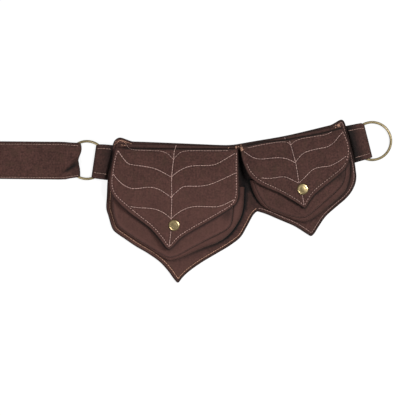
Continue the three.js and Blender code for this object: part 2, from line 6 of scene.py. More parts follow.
import bpy
import numpy as np
from bpy.props import FloatProperty, FloatVectorProperty, PointerProperty
from mathutils import Vector, noise
from mathutils.bvhtree import BVHTree
from mathutils.geometry import delaunay_2d_cdt
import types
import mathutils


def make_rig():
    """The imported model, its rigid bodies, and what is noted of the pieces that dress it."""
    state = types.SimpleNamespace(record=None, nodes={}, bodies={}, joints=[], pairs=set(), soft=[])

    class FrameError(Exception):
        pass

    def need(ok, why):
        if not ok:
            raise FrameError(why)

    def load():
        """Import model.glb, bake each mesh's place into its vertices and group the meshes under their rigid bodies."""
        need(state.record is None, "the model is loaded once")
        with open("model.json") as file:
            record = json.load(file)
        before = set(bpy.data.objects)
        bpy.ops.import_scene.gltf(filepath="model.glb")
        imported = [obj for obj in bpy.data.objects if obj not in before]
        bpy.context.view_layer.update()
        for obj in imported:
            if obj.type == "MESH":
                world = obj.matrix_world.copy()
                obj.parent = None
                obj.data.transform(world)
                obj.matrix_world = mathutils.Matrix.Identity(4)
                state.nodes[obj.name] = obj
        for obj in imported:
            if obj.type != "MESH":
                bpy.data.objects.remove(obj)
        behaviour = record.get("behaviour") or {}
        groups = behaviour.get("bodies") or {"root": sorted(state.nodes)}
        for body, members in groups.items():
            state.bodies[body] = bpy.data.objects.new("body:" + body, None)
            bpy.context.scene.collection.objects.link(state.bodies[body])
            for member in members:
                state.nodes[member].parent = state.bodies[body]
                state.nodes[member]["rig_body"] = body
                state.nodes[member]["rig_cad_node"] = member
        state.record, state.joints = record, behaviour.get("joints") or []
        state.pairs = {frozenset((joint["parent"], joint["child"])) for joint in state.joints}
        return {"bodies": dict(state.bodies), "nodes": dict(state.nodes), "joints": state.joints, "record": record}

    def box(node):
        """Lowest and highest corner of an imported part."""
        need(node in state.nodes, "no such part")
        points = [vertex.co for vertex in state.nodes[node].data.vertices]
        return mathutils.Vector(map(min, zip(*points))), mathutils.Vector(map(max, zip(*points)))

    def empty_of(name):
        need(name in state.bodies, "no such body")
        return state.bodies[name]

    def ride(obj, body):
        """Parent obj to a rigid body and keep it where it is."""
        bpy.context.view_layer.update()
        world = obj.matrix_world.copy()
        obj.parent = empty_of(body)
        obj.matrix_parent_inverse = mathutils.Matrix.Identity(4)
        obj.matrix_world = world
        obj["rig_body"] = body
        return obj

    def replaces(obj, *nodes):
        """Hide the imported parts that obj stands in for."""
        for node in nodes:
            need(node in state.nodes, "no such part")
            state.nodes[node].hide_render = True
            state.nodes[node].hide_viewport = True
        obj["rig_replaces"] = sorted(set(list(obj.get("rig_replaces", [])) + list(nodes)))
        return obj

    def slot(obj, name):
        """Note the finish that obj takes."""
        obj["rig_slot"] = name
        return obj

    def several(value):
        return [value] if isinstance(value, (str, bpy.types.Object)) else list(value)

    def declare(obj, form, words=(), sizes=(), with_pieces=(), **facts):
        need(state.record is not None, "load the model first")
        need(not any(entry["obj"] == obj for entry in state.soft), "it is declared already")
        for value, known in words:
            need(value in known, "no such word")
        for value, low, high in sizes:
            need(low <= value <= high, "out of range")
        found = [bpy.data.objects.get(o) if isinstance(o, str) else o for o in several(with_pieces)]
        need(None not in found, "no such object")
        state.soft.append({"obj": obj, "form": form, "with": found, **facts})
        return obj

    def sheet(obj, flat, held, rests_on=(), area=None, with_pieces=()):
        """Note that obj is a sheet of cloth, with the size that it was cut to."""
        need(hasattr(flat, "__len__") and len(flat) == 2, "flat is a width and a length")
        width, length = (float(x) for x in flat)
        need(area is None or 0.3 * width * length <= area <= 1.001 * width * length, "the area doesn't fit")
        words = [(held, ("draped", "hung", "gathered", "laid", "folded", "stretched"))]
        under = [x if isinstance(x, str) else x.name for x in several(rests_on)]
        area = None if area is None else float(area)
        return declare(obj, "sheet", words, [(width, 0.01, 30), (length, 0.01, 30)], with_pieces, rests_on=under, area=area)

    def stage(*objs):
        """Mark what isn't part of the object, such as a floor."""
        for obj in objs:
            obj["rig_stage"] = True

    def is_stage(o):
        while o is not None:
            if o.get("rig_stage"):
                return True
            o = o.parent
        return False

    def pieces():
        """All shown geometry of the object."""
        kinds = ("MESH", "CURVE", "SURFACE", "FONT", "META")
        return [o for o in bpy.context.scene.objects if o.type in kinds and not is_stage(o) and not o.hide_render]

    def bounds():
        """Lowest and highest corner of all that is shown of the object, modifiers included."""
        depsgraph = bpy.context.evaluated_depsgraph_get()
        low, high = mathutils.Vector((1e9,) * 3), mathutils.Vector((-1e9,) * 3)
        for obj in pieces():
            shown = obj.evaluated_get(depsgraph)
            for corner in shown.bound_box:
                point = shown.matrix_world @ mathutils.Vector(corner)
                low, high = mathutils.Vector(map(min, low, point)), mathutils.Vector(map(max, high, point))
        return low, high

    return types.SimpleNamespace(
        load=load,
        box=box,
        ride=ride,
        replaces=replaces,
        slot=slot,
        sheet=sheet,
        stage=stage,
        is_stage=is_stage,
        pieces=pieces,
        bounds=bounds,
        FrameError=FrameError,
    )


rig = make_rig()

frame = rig.load()
CAD_BOX = [list(corner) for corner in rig.bounds()]

bl_info = {
    "name": "Pocket belt",
    "version": (1, 0, 0),
    "blender": (4, 5, 0),
    "location": "3D View > Sidebar > Belt",
    "description": "Sews the canvas, leaf stitching, rings and snaps of a pocket belt onto its frame",
    "category": "Object",
}

MM = 0.001
GRID = 1.32 * MM  # one unit of the pattern grid, which runs right and down
RING_ON_GRID = (371.94, 141.11)  # middle of the free ring on the pattern grid
VIEW_ON_GRID = (208.0, 208.0)  # what the camera looks at
VIEW_UNITS = 416.0  # width of the view in grid units
SIZE_FILE = "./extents.json"
SEED = 7

# Pattern of the backing panel: runs of the outline, broken at its corners
PANEL_RUNS = [
    [(113.2, 149), (113.7, 144.8), (115.6, 140.6), (119.5, 138.3), (124, 139.4), (128, 140.9), (132, 142.3)],
    [(132, 142.3), (160, 143.3), (200, 145), (228, 145.9), (236, 145.2)],
    [(236, 145.2), (255, 141.9), (286, 136.5), (320, 128.5), (331, 125.8)],
    [(331, 125.8), (336, 123.1), (339.5, 120.9), (342, 120.2)],
    [(342, 120.2), (343.8, 122.8), (345, 126.5)],
    [
        (345, 126.5), (349.5, 143), (353.5, 161), (355, 171), (355.5, 177), (354.6, 183), (351, 191),
        (345, 198.3), (336, 206), (325, 216), (318, 226), (313.4, 233.3), (311, 235.7),
    ],
    [(311, 235.7), (306, 232.5), (295, 225.6), (279.8, 219), (265.8, 213.1), (257, 210.4)],
    [
        (257, 210.4), (253, 214), (246, 226.5), (240, 236.5), (230, 244.5), (215, 253.5), (200, 262.5),
        (187, 272), (181.5, 277.5), (178, 282.4),
    ],
    [
        (178, 282.4), (175, 279), (168, 269.5), (160, 261), (148, 252.5), (136, 245.5), (125, 238),
        (117, 232.5), (113.5, 229), (109, 215), (107.2, 209), (107.7, 195), (108.4, 181), (109.8, 171),
        (112.2, 162.5), (113.4, 155), (113.2, 149),
    ],
]

# One leaf pouch each: places on the pattern grid, heights and distances in millimetres.
# turn: lie of the weave in degrees. tone: darkness of all its cloth.
# sun: painted light on the lower part of its flap, and painted shade on the flap's top.
# lightening: how much lighter the pouch's front and gusset are made, on the gusset as painted light.
# pinch: how sharply the painted shade on the gusset gathers at its foot.
# fold_start: where the painted shade under the flap's rolled top edge starts, from the flap's left end.
# crevice: painted shade on the panel beside the pouch, at shares of the length of the pouch's foot.
# seam: painted shade along the pouch's rim, and drop: how far the rim sinks, at shares of the rim's length.
# shade: painted shadow on the pouch under the flap's edge, at places across the grid. rim: height of the rim.
# flap: runs of its outline. fold: the crease under its rolled top edge.
# profile: distance down from the fold, height of the flap's upper face, height of its underside.
# lift: a line near which the flap's edge stands up. rim_line and base_line: the pouch's rim and foot.
# snap: middle of the snap cap. corner: middle of a patch of painted shadow on the pouch front.
LEAVES = {
    "left": {
        "turn": -2.2,
        "tone": 0.0,
        "sun": 0.5,
        "rub": 0.78,
        "pinch": 3.0,
        "fold_start": 14,
        "crevice": [(0, 0.15), (0.4, 0.15), (0.5, 0.35), (0.58, 0.6), (0.7, 0.85), (0.76, 1), (1, 1)],
        "seam": [(0, 0.15), (0.2, 0.32), (0.42, 0.32), (0.5, 0.32), (0.6, 0.65), (0.75, 0.9), (1, 1)],
        "drop": [(0, 0), (0.08, 2), (0.2, 6.5), (0.4, 6.5), (0.5, 4.5), (0.6, 1.5), (0.7, 0), (1, 0)],
        "shade": [
            (110, 0.4), (125, 0.55), (138, 0.85), (150, 0.95), (164, 0.95), (172, 0.7), (195, 0.75),
            (215, 0.85), (225, 0.9), (240, 0.9),
        ],
        "rim": 13.5,
        "flap": [
            [(116.5, 143.4), (150, 144.3), (200, 145.7), (236.8, 146.6)],
            [
                (236.8, 146.6), (237.6, 150), (238, 158), (238.2, 170), (238.4, 190), (238, 197.4),
                (236, 203), (231.8, 207.1), (218.6, 215.6), (200.6, 226), (190.5, 231.9), (180.4, 238.6),
                (172.6, 246.8), (169.3, 249.4),
            ],
            [
                (169.3, 249.4), (165.8, 246.4), (160.8, 239.8), (150.8, 228.3), (140.6, 220.4),
                (127.4, 210.5), (116.2, 199.3), (112.5, 194), (110.3, 188), (110.2, 180), (111.9, 167),
                (113.1, 160), (114.5, 153), (116.5, 143.4),
            ],
        ],
        "fold": [
            (108, 148), (114, 148), (120, 148.2), (128, 148.6), (150, 149), (175, 149.3), (200, 149.4),
            (225, 149.3), (238.5, 149), (244, 149),
        ],
        "profile": [
            (-12, 5.3, 3.3), (-1.4, 5.2, 3.3), (-0.6, 4.7, 3.3), (0, 4.5, 3.1), (0.4, 7.4, 3.2),
            (0.9, 9.7, 3.8), (2, 11, 6), (5, 11.8, 8.9), (20, 14.4, 11.8), (40, 18.4, 16), (52, 19.1, 16.8),
            (160, 19.1, 16.8),
        ],
        "lift": {"line": [(118, 203), (140, 222), (160, 242)], "rise": 1.2, "reach": 9},
        "rim_line": [
            (113, 185), (113, 205), (114.5, 216), (118, 225), (122, 229), (133, 236.5), (148, 246),
            (160, 253.3), (167, 257), (170, 257.6), (177, 256), (190, 249), (206, 240.5), (220, 233.5),
            (227, 229.5), (231, 224.5), (232.7, 216), (233.3, 205), (233.5, 187),
        ],
        "base_line": [
            (112.2, 185), (112.2, 205), (113.8, 216.3), (117.3, 225.5), (121.5, 229.6), (132.5, 237.2),
            (147.4, 246.9), (159, 254.6), (165, 258.4), (169.5, 260.4), (175, 259.5), (185, 256),
            (195, 251.5), (205, 247.3), (215, 243.7), (222, 240), (228, 235.5), (233, 230), (237, 224),
            (240.8, 217), (243.2, 208), (244, 198), (244.4, 187),
        ],
        "snap": (174.4, 225.1),
        "corner": (227, 213),
    },
    "right": {
        "turn": 11.3,
        "tone": 0.12,
        "sun": 0.1,
        "rub": 0.15,
        "pinch": 3.5,
        "fold_start": 4,
        "crevice": [
            (0, 1), (0.14, 0.95), (0.24, 0.2), (0.36, 0.2), (0.46, 0.5), (0.6, 0.5), (0.75, 0.7), (1, 0.8),
        ],
        "seam": [(0, 0.12), (0.2, 0.2), (0.42, 0.3), (0.55, 0.6), (0.75, 0.9), (1, 0.9)],
        "drop": [(0, 0), (0.1, 1), (0.22, 5), (0.38, 5), (0.48, 3), (0.6, 1), (0.7, 0), (1, 0)],
        "shade": [
            (245, 0.3), (252, 0.35), (258, 0.5), (266, 0.55), (278, 0.65), (288, 0.88), (296, 0.9),
            (302, 0.8), (310, 0.85), (330, 0.9), (346, 0.8),
        ],
        "rim": 12.3,
        "flap": [
            [(240.4, 145.6), (280, 137.7), (310, 131.7), (341, 125.4)],
            [
                (341, 125.4), (343, 130), (346, 136), (348.4, 142), (349.5, 150), (349.2, 157), (347, 164),
                (343.5, 170), (332, 180), (317, 192), (311, 198), (307, 204.4), (304.2, 208.5),
            ],
            [
                (304.2, 208.5), (296, 203), (280, 193.8), (259.4, 184.7), (253, 180.2), (248.5, 175.1),
                (243.2, 163.3), (241.2, 156), (240.4, 145.6),
            ],
        ],
        "fold": [
            (234, 149.4), (240, 147.8), (262.8, 142.8), (283.4, 140.6), (298, 138), (321, 133.8),
            (333.2, 130.8), (341, 128.4), (346, 127),
        ],
        "profile": [
            (-12, 5.1, 3.3), (-1.3, 5, 3.3), (-0.6, 4.6, 3.3), (0, 4.4, 3.1), (0.4, 7, 3.2),
            (0.9, 9.1, 3.7), (2, 10.2, 5.6), (5, 11, 8.1), (18, 13.4, 10.9), (34, 16.8, 14.5),
            (44, 17.8, 15.5), (120, 17.8, 15.5),
        ],
        "lift": {"line": [(252, 178), (272, 190), (292, 201)], "rise": 1.1, "reach": 8},
        "rim_line": [
            (253.2, 180.7), (254.5, 186), (257, 192), (261, 199), (267, 206.5), (272, 209.5), (282, 213.5),
            (291, 216.3), (299, 218), (304.5, 217.3), (309.5, 214.7), (315, 210.2), (321.5, 204.4),
            (328.3, 198.4), (334.4, 193), (340, 187), (343.2, 181.5), (344.8, 172), (343.8, 162.6),
        ],
        "base_line": [
            (249.6, 180.5), (251, 186), (253.6, 193), (257.6, 200.3), (263.5, 206.5), (270, 210.2),
            (281, 214.6), (289, 217.8), (295.5, 220.4), (302, 222), (308, 220.8), (314, 217.4),
            (321, 212.2), (328, 206.7), (335, 200.7), (341, 195.2), (345.8, 189.5), (348.8, 180),
            (349.8, 168), (349, 160.3),
        ],
        "snap": (302.1, 189.3),
        "corner": (340, 175),
    },
}

# Stitch rows of the flaps on the pattern grid: spine and side veins, veins under the top edge, borders
VEINS = {
    "left": [
        [
            (176.3, 145.2), (175.6, 147.6), (174.6, 150.6), (173.7, 159.5), (171.9, 177.3), (172, 197.8),
            (171.4, 218.7), (171.3, 220),
        ],
        [(171.2, 231), (170.4, 238), (169.4, 246)],
        [
            (118.5, 151), (121, 155), (124, 159), (127, 162.5), (129.5, 164.3), (144, 166.5), (152, 168),
            (158, 170), (163, 172.5), (171.5, 177.3),
        ],
        [
            (113.7, 174), (117, 178.5), (121, 182.5), (125, 185.7), (133, 188.7), (147, 187.5), (152, 187.5),
            (158, 189), (163, 191.5), (171.7, 197.8),
        ],
        [(131, 206.5), (137, 207.5), (150, 208.3), (156, 209.3), (161, 211.3), (165, 213.5), (171.5, 218.7)],
        [
            (171.8, 177), (178.5, 171.5), (183, 169), (188, 167), (194, 166), (208, 165.7), (214, 165),
            (219, 163), (225, 159.5), (235, 153.5),
        ],
        [
            (171.7, 197.5), (174.5, 194), (178, 191), (181, 188.3), (184, 186.7), (200, 186.3), (207, 185.3),
            (213, 183.5), (220, 180.5), (236, 173),
        ],
        [
            (171.5, 218.5), (179, 212.3), (184, 209.5), (190, 207.3), (196, 206.5), (217, 206.7),
            (222, 205.5), (228, 202.7), (233.5, 199.8),
        ],
    ],
    "right": [
        [(284.7, 137.6), (284.9, 139.6)],
        [(289.2, 141), (290.3, 145), (293, 155), (295, 162.5), (296, 168), (298.3, 183.3)],
        [(301.5, 195), (302.6, 200), (303.4, 204.5)],
        [
            (243.5, 151.4), (247, 154), (251, 156.7), (255, 158.5), (260, 159.3), (273, 158.2), (280, 158),
            (286, 159), (291, 161), (294.5, 163),
        ],
        [
            (295, 162.5), (297.5, 159), (300, 156), (303, 153.5), (307, 151.7), (320, 148.5), (325, 147.7),
            (329, 146), (332, 144), (335, 141), (338, 137), (341.8, 133),
        ],
        [(261, 178.2), (270, 178.5), (282, 177), (286, 177.5), (290, 179.3), (298, 183.3)],
        [
            (298.5, 183), (305, 176.7), (309, 172.5), (313, 169.3), (320, 167.3), (328, 166.5), (332, 165),
            (337, 162.3), (345.3, 156.5),
        ],
    ],
}
TOP_VEINS = {
    "left": [
        [
            (126.6, 144.6), (127.6, 146.6), (129.4, 148.6), (132.5, 149.8), (150, 150.7), (160, 151.2),
            (164, 152.2), (168, 154), (171, 157), (173.5, 159.5),
        ],
        [(173.7, 159.5), (177, 155.7), (180, 153), (183, 151.7), (188, 151), (215, 151), (228, 150.8)],
    ],
    "right": [
        [(247, 148.2), (265, 144.4), (282, 142.1), (287, 142.7), (290.5, 145.2)],
        [
            (290.5, 145.2), (293, 142.7), (296, 140.8), (300, 139.3), (315, 136.6), (323, 135.4),
            (329, 133.5), (331.5, 131.8),
        ],
    ],
}
BORDERS = {
    "left": [
        [
            (118.5, 150.4), (116.2, 157), (114.8, 164), (113.4, 174), (112.6, 180), (112.8, 186),
            (114.3, 191), (117.3, 196), (122.4, 200.9), (129.7, 207.1), (142, 217.3), (152.2, 225.3),
            (162.2, 236.5), (167.4, 243.8), (169.3, 246.4), (171.3, 244.3), (179, 236), (189.8, 229),
            (200.4, 222.9), (218, 213), (230, 205.5), (233.8, 201.2), (235.6, 195.8), (236.1, 189),
            (236, 170), (236.2, 153),
        ],
    ],
    "right": [
        [
            (246.4, 163.5), (248.2, 167.6), (250.6, 172), (255.5, 177.3), (261.5, 181.6), (281.5, 191.2),
            (297, 200.3), (303.8, 204.9), (305.8, 201.8), (308.8, 196.5), (314.8, 189.5), (329.8, 177.4),
            (341.4, 167.9), (344.8, 162.8),
        ],
        [(345.6, 161), (347, 156.4), (347.4, 150), (346.3, 142.6), (343.8, 136), (342, 131.6)],
    ],
}
PANEL_NOTCH = (257, 210.4)  # where the two lobes meet below
PANEL_STITCH_INSET = 3.05  # from the panel's edge, in grid units
PANEL_STITCH_SLIP = (0.64, 0.38)  # more where the edge faces down and left, less where it faces up and right

# Bar tacks at the flaps' top corners: middle, direction in degrees, length, width and count of threads
TACKS = [
    {"at": (241.3, 149.0), "turn": 70, "length": 5.4, "width": 4.4, "threads": 6},
    {"at": (236.0, 147.4), "turn": 85, "length": 3.4, "width": 1.5, "threads": 6},
    {"at": (338.4, 125.4), "turn": -35, "length": 3.6, "width": 3.2, "threads": 5},
]

# Loops of thread at the raised corners, where the flaps are sewn down
CORNER_LOOPS = [
    [(114.7, 146), (115.4, 142.6), (117, 140.5)],
    [(121.4, 141.2), (123.8, 141.6), (125.6, 143), (126.6, 144.8)],
    [(120.8, 144.3), (123, 145.5), (126.2, 145.5)],
    [(335.2, 124.3), (335.7, 126.8), (335, 128.8)],
    [(336.3, 124.6), (337.4, 126.3), (339.2, 126.9), (341, 126.7)],
    [(229.6, 147), (227, 149)],
    [(240.8, 144.5), (240.9, 146.2)],
]

# Straps folded round the rings, in millimetres from the ring's middle.
# turn: the way it runs, in degrees. fold: where it bends round the ring. landing: where its upper layer
# comes down on the lower one. tail: its end. tongue: whether it thins out to lie under the panel.
# hem: width of the painted edge shade on its right. widths: distance along, half widths to the left and the right.
# rows: stitch rows, from the left and the right edge. shade: distance along, darkness of the painted shade.
STRAPS = {
    "strap": {
        "ring": "left_ring", "turn": 180, "fold": 8.6, "landing": 46, "tail": 124, "tongue": False,
        "hem": 2.2,
        "widths": [
            (8.6, 21.0, 21.2), (11.5, 22.7, 22.7), (22, 24.1, 23.2), (28, 25.4, 23.8), (36, 25.7, 24.2),
            (124, 24.8, 24.9),
        ],
        "rows": (2.4, 3.7),
        "shade": [(0, 0.03), (124, 0.03)],
    },
    "left_tab": {
        "ring": "left_ring", "turn": -8.4, "fold": 9.1, "landing": 31, "tail": 43, "tongue": True,
        "hem": 0.9,
        "widths": [
            (9.1, 20.9, 20.9), (12.2, 22.8, 22.5), (20, 23.8, 22.4), (31, 24.6, 22.2), (46, 24.4, 22.2),
        ],
        "rows": (5.6, 7.6),
        "shade": [
            (9, 0.2), (17, 0.32), (22.7, 0.46), (26.3, 0.62), (29, 0.72), (30.4, 0.86), (32, 0.98), (34, 1),
        ],
    },
    "right_tab": {
        "ring": "right_ring", "turn": 194.2, "fold": 4.7, "landing": 29.4, "tail": 41, "tongue": True,
        "hem": 0.9,
        "widths": [(4.7, 20.6, 23.6), (8, 21.4, 26.6), (30, 22.2, 27.9), (45, 22.2, 27.9)],
        "rows": (6.2, 7.0),
        "shade": [
            (8, 0.15), (13, 0.2), (16, 0.38), (18.4, 0.55), (20.5, 0.7), (22.6, 0.8), (25, 0.88), (30, 0.9),
        ],
    },
}


# Settings


def measure(name, description, default):
    return FloatProperty(name=name, description=description, default=default, unit="LENGTH")


def colour(name, description, tone):
    return FloatVectorProperty(
        name=name, description=description, default=(*tone, 1.0), size=4, subtype="COLOR", min=0.0, max=1.0
    )


class BeltSizes(bpy.types.PropertyGroup):
    """Sizes of the cloth, thread and metal."""

    cloth_step: measure("Cloth step", "Spacing of the cloth's points", 1.25 * MM)
    cloth_thickness: measure("Cloth thickness", "One layer of canvas", 1.2 * MM)
    panel_thickness: measure("Panel thickness", "Thickness of the backing panel", 3.0 * MM)
    puff: measure("Puff", "Rise of the quilted leaf between its stitch rows", 0.75 * MM)
    groove: measure("Groove", "How deep a row of stitches pulls the flap in", 0.55 * MM)
    stitch_pitch: measure("Stitch pitch", "From one stitch to the next", 3.55 * MM)
    vein_stitch: measure("Vein stitch", "Length of one stitch of a vein, seam or hem", 3.4 * MM)
    edge_stitch: measure("Edge stitch", "Length of one stitch of a border or corner", 2.45 * MM)
    thread: measure("Thread", "Radius of the sewing thread", 0.47 * MM)
    ring_radius: measure("Ring radius", "Middle of a ring's wire", 24.8 * MM)
    ring_wire: measure("Ring wire", "Radius of a ring's wire", 1.7 * MM)
    snap_radius: measure("Snap radius", "Radius of a snap cap", 7.45 * MM)


class BeltColours(bpy.types.PropertyGroup):
    """Colours of the cloth, thread, metal and floor."""

    canvas: colour("Canvas", "Brown canvas", (0.0180, 0.0080, 0.0066))
    # Faded canvas is also the tone that painted light brings the canvas towards.
    canvas_faded: colour("Faded canvas", "Canvas where it is rubbed and faded", (0.0450, 0.0200, 0.0164))
    canvas_olive: colour("Olive canvas", "Canvas where the dye is greener", (0.0270, 0.0150, 0.0100))
    # Painted shade colour for the canvas's creases, stitch grooves, seams and edges.
    canvas_crease_shade: colour("Dark canvas", "Canvas in its folds", (0.0031, 0.0025, 0.0024))
    # Painted shadow colour for the gaps, the pouches' feet and the canvas under the flaps' edges.
    canvas_shadow: colour("Shaded canvas", "Canvas in the deep gaps", (0.0009, 0.0015, 0.0016))
    thread_tan: colour("Tan thread", "Thread of the left flap's veins", (0.272, 0.173, 0.150))
    thread_pale: colour("Pale thread", "Thread of the right flap's veins", (0.225, 0.144, 0.127))
    thread_warm: colour("Warm thread", "Thread of the left border", (0.207, 0.122, 0.105))
    thread_orange: colour("Orange thread", "Thread of the left hem and the corners", (0.27, 0.148, 0.100))
    thread_dull: colour("Dull thread", "Thread of the strap and tabs", (0.165, 0.100, 0.081))
    thread_soft: colour("Soft thread", "Thread of top veins, right border and hem", (0.166, 0.100, 0.085))
    thread_brown: colour("Brown thread", "Thread of the pouch seams", (0.034, 0.0160, 0.0130))
    brass: colour("Ring brass", "Pale plated rings", (0.165, 0.127, 0.058))
    snap_brass: colour("Snap brass", "Antique snap caps", (0.40, 0.31, 0.157))
    floor: colour("Floor", "Pale studio floor", (0.93, 0.93, 0.93))


def sizes():
    return bpy.context.scene.belt_sizes


def colours():
    return bpy.context.scene.belt_colours


# Points and lines


CURVE_STEPS = 24  # steps of a smooth curve between two of its points
CORNER_ROUNDING = 2  # times that an outline is smoothed
BATCH = 2000  # points that are measured at once
TINY = 1e-18


def ring_middle(node):
    low, high = (np.array(corner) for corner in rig.box(node))
    return (low + high) / 2


def on_frame(points):
    """Points of the pattern grid in the belt's frame, in metres."""
    ring = ring_middle("right_ring")
    flat = (np.asarray(points, float) - RING_ON_GRID) * (GRID, -GRID)
    return flat + ring[:2]


def gap_to(spots, place):
    """Distance of some points to a place on the pattern grid."""
    return np.linalg.norm(spots - on_frame([place]), axis=1)


def unit(vectors):
    return vectors / np.linalg.norm(vectors, axis=1)[:, None]


def leftward(runs):
    """Directions turned a quarter to their left."""
    return np.column_stack([-runs[:, 1], runs[:, 0]])


def runs_round(edge):
    """Directions along a closed outline."""
    return unit(np.roll(edge, -1, 0) - np.roll(edge, 1, 0))


def bell(distance, width, power=2):
    """A share that is one at distance zero and fades out over a width."""
    return np.exp(-((distance / width) ** power))


def ramp(distance, width):
    """A share that grows from zero to one over a width."""
    return np.clip(distance / width, 0, 1)


def table(rows, at, column=1):
    """One column of some rows, read between them at places in the first column."""
    rows = np.asarray(rows, float)
    return np.interp(at, rows[:, 0], rows[:, column])


def lengths_along(line):
    return np.concatenate([[0], np.cumsum(np.linalg.norm(np.diff(line, axis=0), axis=1))])


def on_line(line, along, places):
    """Points of a line at some distances along it."""
    return np.column_stack([np.interp(places, along, column) for column in line.T])


def even(points, step):
    """Points at even steps along a line."""
    along = lengths_along(points)
    count = max(2, round(along[-1] / step) + 1)
    return on_line(points, along, np.linspace(0, along[-1], count))


def smooth(points, step):
    """A smooth curve through some points, at even steps."""
    points = np.asarray(points, float)
    if len(points) == 2:
        return even(points, step)
    knots = np.concatenate([[0], np.cumsum(np.sqrt(np.linalg.norm(np.diff(points, axis=0), axis=1)))])
    widths = np.diff(knots)[:, None]
    slopes = np.diff(points, axis=0) / widths
    tangents = np.empty_like(points)
    tangents[1:-1] = (slopes[:-1] * widths[1:] + slopes[1:] * widths[:-1]) / (widths[:-1] + widths[1:])
    tangents[0] = 1.5 * slopes[0] - 0.5 * tangents[1]
    tangents[-1] = 1.5 * slopes[-1] - 0.5 * tangents[-2]
    t = np.linspace(0, 1, CURVE_STEPS, endpoint=False)[:, None]
    blend = t * t * (3 - 2 * t)
    pieces = []
    for i, width in enumerate(widths):
        leave = t * (1 - t) ** 2 * width
        arrive = t * t * (t - 1) * width
        pieces.append(
            (1 - blend) * points[i] + blend * points[i + 1] + leave * tangents[i] + arrive * tangents[i + 1]
        )
    return even(np.vstack([*pieces, points[-1:]]), step)


def outline(runs, step):
    """A closed outline of smooth runs, with its corners a little rounded."""
    points = np.vstack([smooth(on_frame(run), step)[:-1] for run in runs])
    for _ in range(CORNER_ROUNDING):
        points = (np.roll(points, 1, 0) + 2 * points + np.roll(points, -1, 0)) / 4
    return points


def nearest(points, line, closed=False):
    """For each point: distance to a line, distance along it and the side, positive on its left."""
    start = line if closed else line[:-1]
    run = (np.roll(line, -1, 0) - line) if closed else np.diff(line, axis=0)
    squared = np.maximum((run**2).sum(1), TINY)
    before = np.concatenate([[0], np.cumsum(np.sqrt(squared))[:-1]])
    out = [np.empty(len(points)) for _ in range(3)]
    for low in range(0, len(points), BATCH):
        part = slice(low, low + BATCH)
        offset = points[part, None, :] - start[None]
        share = np.clip((offset * run).sum(2) / squared, 0, 1)
        gap = offset - share[..., None] * run
        square = (gap**2).sum(2)
        best = square.argmin(1)
        rows = np.arange(len(best))
        out[0][part] = np.sqrt(square[rows, best])
        out[1][part] = before[best] + share[rows, best] * np.sqrt(squared[best])
        out[2][part] = np.sign(run[best, 0] * offset[rows, best, 1] - run[best, 1] * offset[rows, best, 0])
    return out


def inside(points, line):
    """Which points lie inside a closed line."""
    result = np.zeros(len(points), bool)
    for a, b in zip(line, np.roll(line, -1, 0)):
        if a[1] == b[1]:
            continue
        spans = (a[1] > points[:, 1]) != (b[1] > points[:, 1])
        cross = a[0] + (points[:, 1] - a[1]) * (b[0] - a[0]) / (b[1] - a[1])
        result ^= spans & (points[:, 0] < cross)
    return result


def polygon_area(edge):
    x, y = edge[:, 0], edge[:, 1]
    return float((x * np.roll(y, -1) - y * np.roll(x, -1)).sum() / 2)


def cut_size(edge):
    """Flat size and area of cloth that is cut to an outline."""
    low, high = edge.min(0), edge.max(0)
    return {"flat": (float(high[0] - low[0]), float(high[1] - low[1])), "area": abs(polygon_area(edge))}


def ripple(points, size, offset):
    """Soft noise at some points, from about -1 to 1, with waves of a given size."""
    return np.array([noise.noise(Vector((x / size, y / size, offset))) for x, y in points[:, :2]])


def waves(spots, rows):
    """Soft waves in the cloth: rows of stretch downwards, size and height in millimetres, offset."""
    total = np.zeros(len(spots))
    for stretch, size, height, offset in rows:
        total += ripple(spots * (1, stretch), size * MM, offset) * height * MM
    return total


# Meshes


EDGE_ROWS = (0.12, 0.4, 0.85, 1.5)  # depths of the rows that follow an edge, as shares of a step
EDGE_ROW_KEPT = 0.9  # share of its depth that a point of such a row keeps in a tight corner
LINE_MARGIN = 1.3  # how far given lines stay off those rows, as a share of the last one's depth
GRID_MARGIN = 0.6  # how far the even spread stays off those rows, in steps
LINE_CLEARANCE = 0.55  # how far it stays off given lines, in steps
MERGED = 1e-5  # points this close are one, in millimetres
ON_EDGE = 1e-7
FAR = 1.0
PUCKER_REACH = 2.2  # in widths of the groove


def add_mesh(name, points, faces, finish, marks=None, flat=False):
    """A new piece from points, faces, a finish and named marks on its points."""
    mesh = bpy.data.meshes.new(name)
    mesh.from_pydata([tuple(p) for p in points], [], [tuple(int(i) for i in face) for face in faces])
    if mesh.validate(verbose=False):
        raise RuntimeError(f"{name} has faces that can't be used")
    for key, values in (marks or {}).items():
        values = np.asarray(values, float)
        kind, field = ("FLOAT", "value") if values.ndim == 1 else ("FLOAT_VECTOR", "vector")
        mesh.attributes.new(key, kind, "POINT").data.foreach_set(field, values.ravel())
    mesh.polygons.foreach_set("use_smooth", [not flat] * len(mesh.polygons))
    mesh.materials.append(finish)
    piece = bpy.data.objects.new(name, mesh)
    bpy.context.scene.collection.objects.link(piece)
    return piece


def stand_for(piece, node, body, slot):
    """Say which body a piece rides on, which node it stands for and what it is made of."""
    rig.ride(piece, body)
    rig.replaces(piece, node)
    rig.slot(piece, slot)


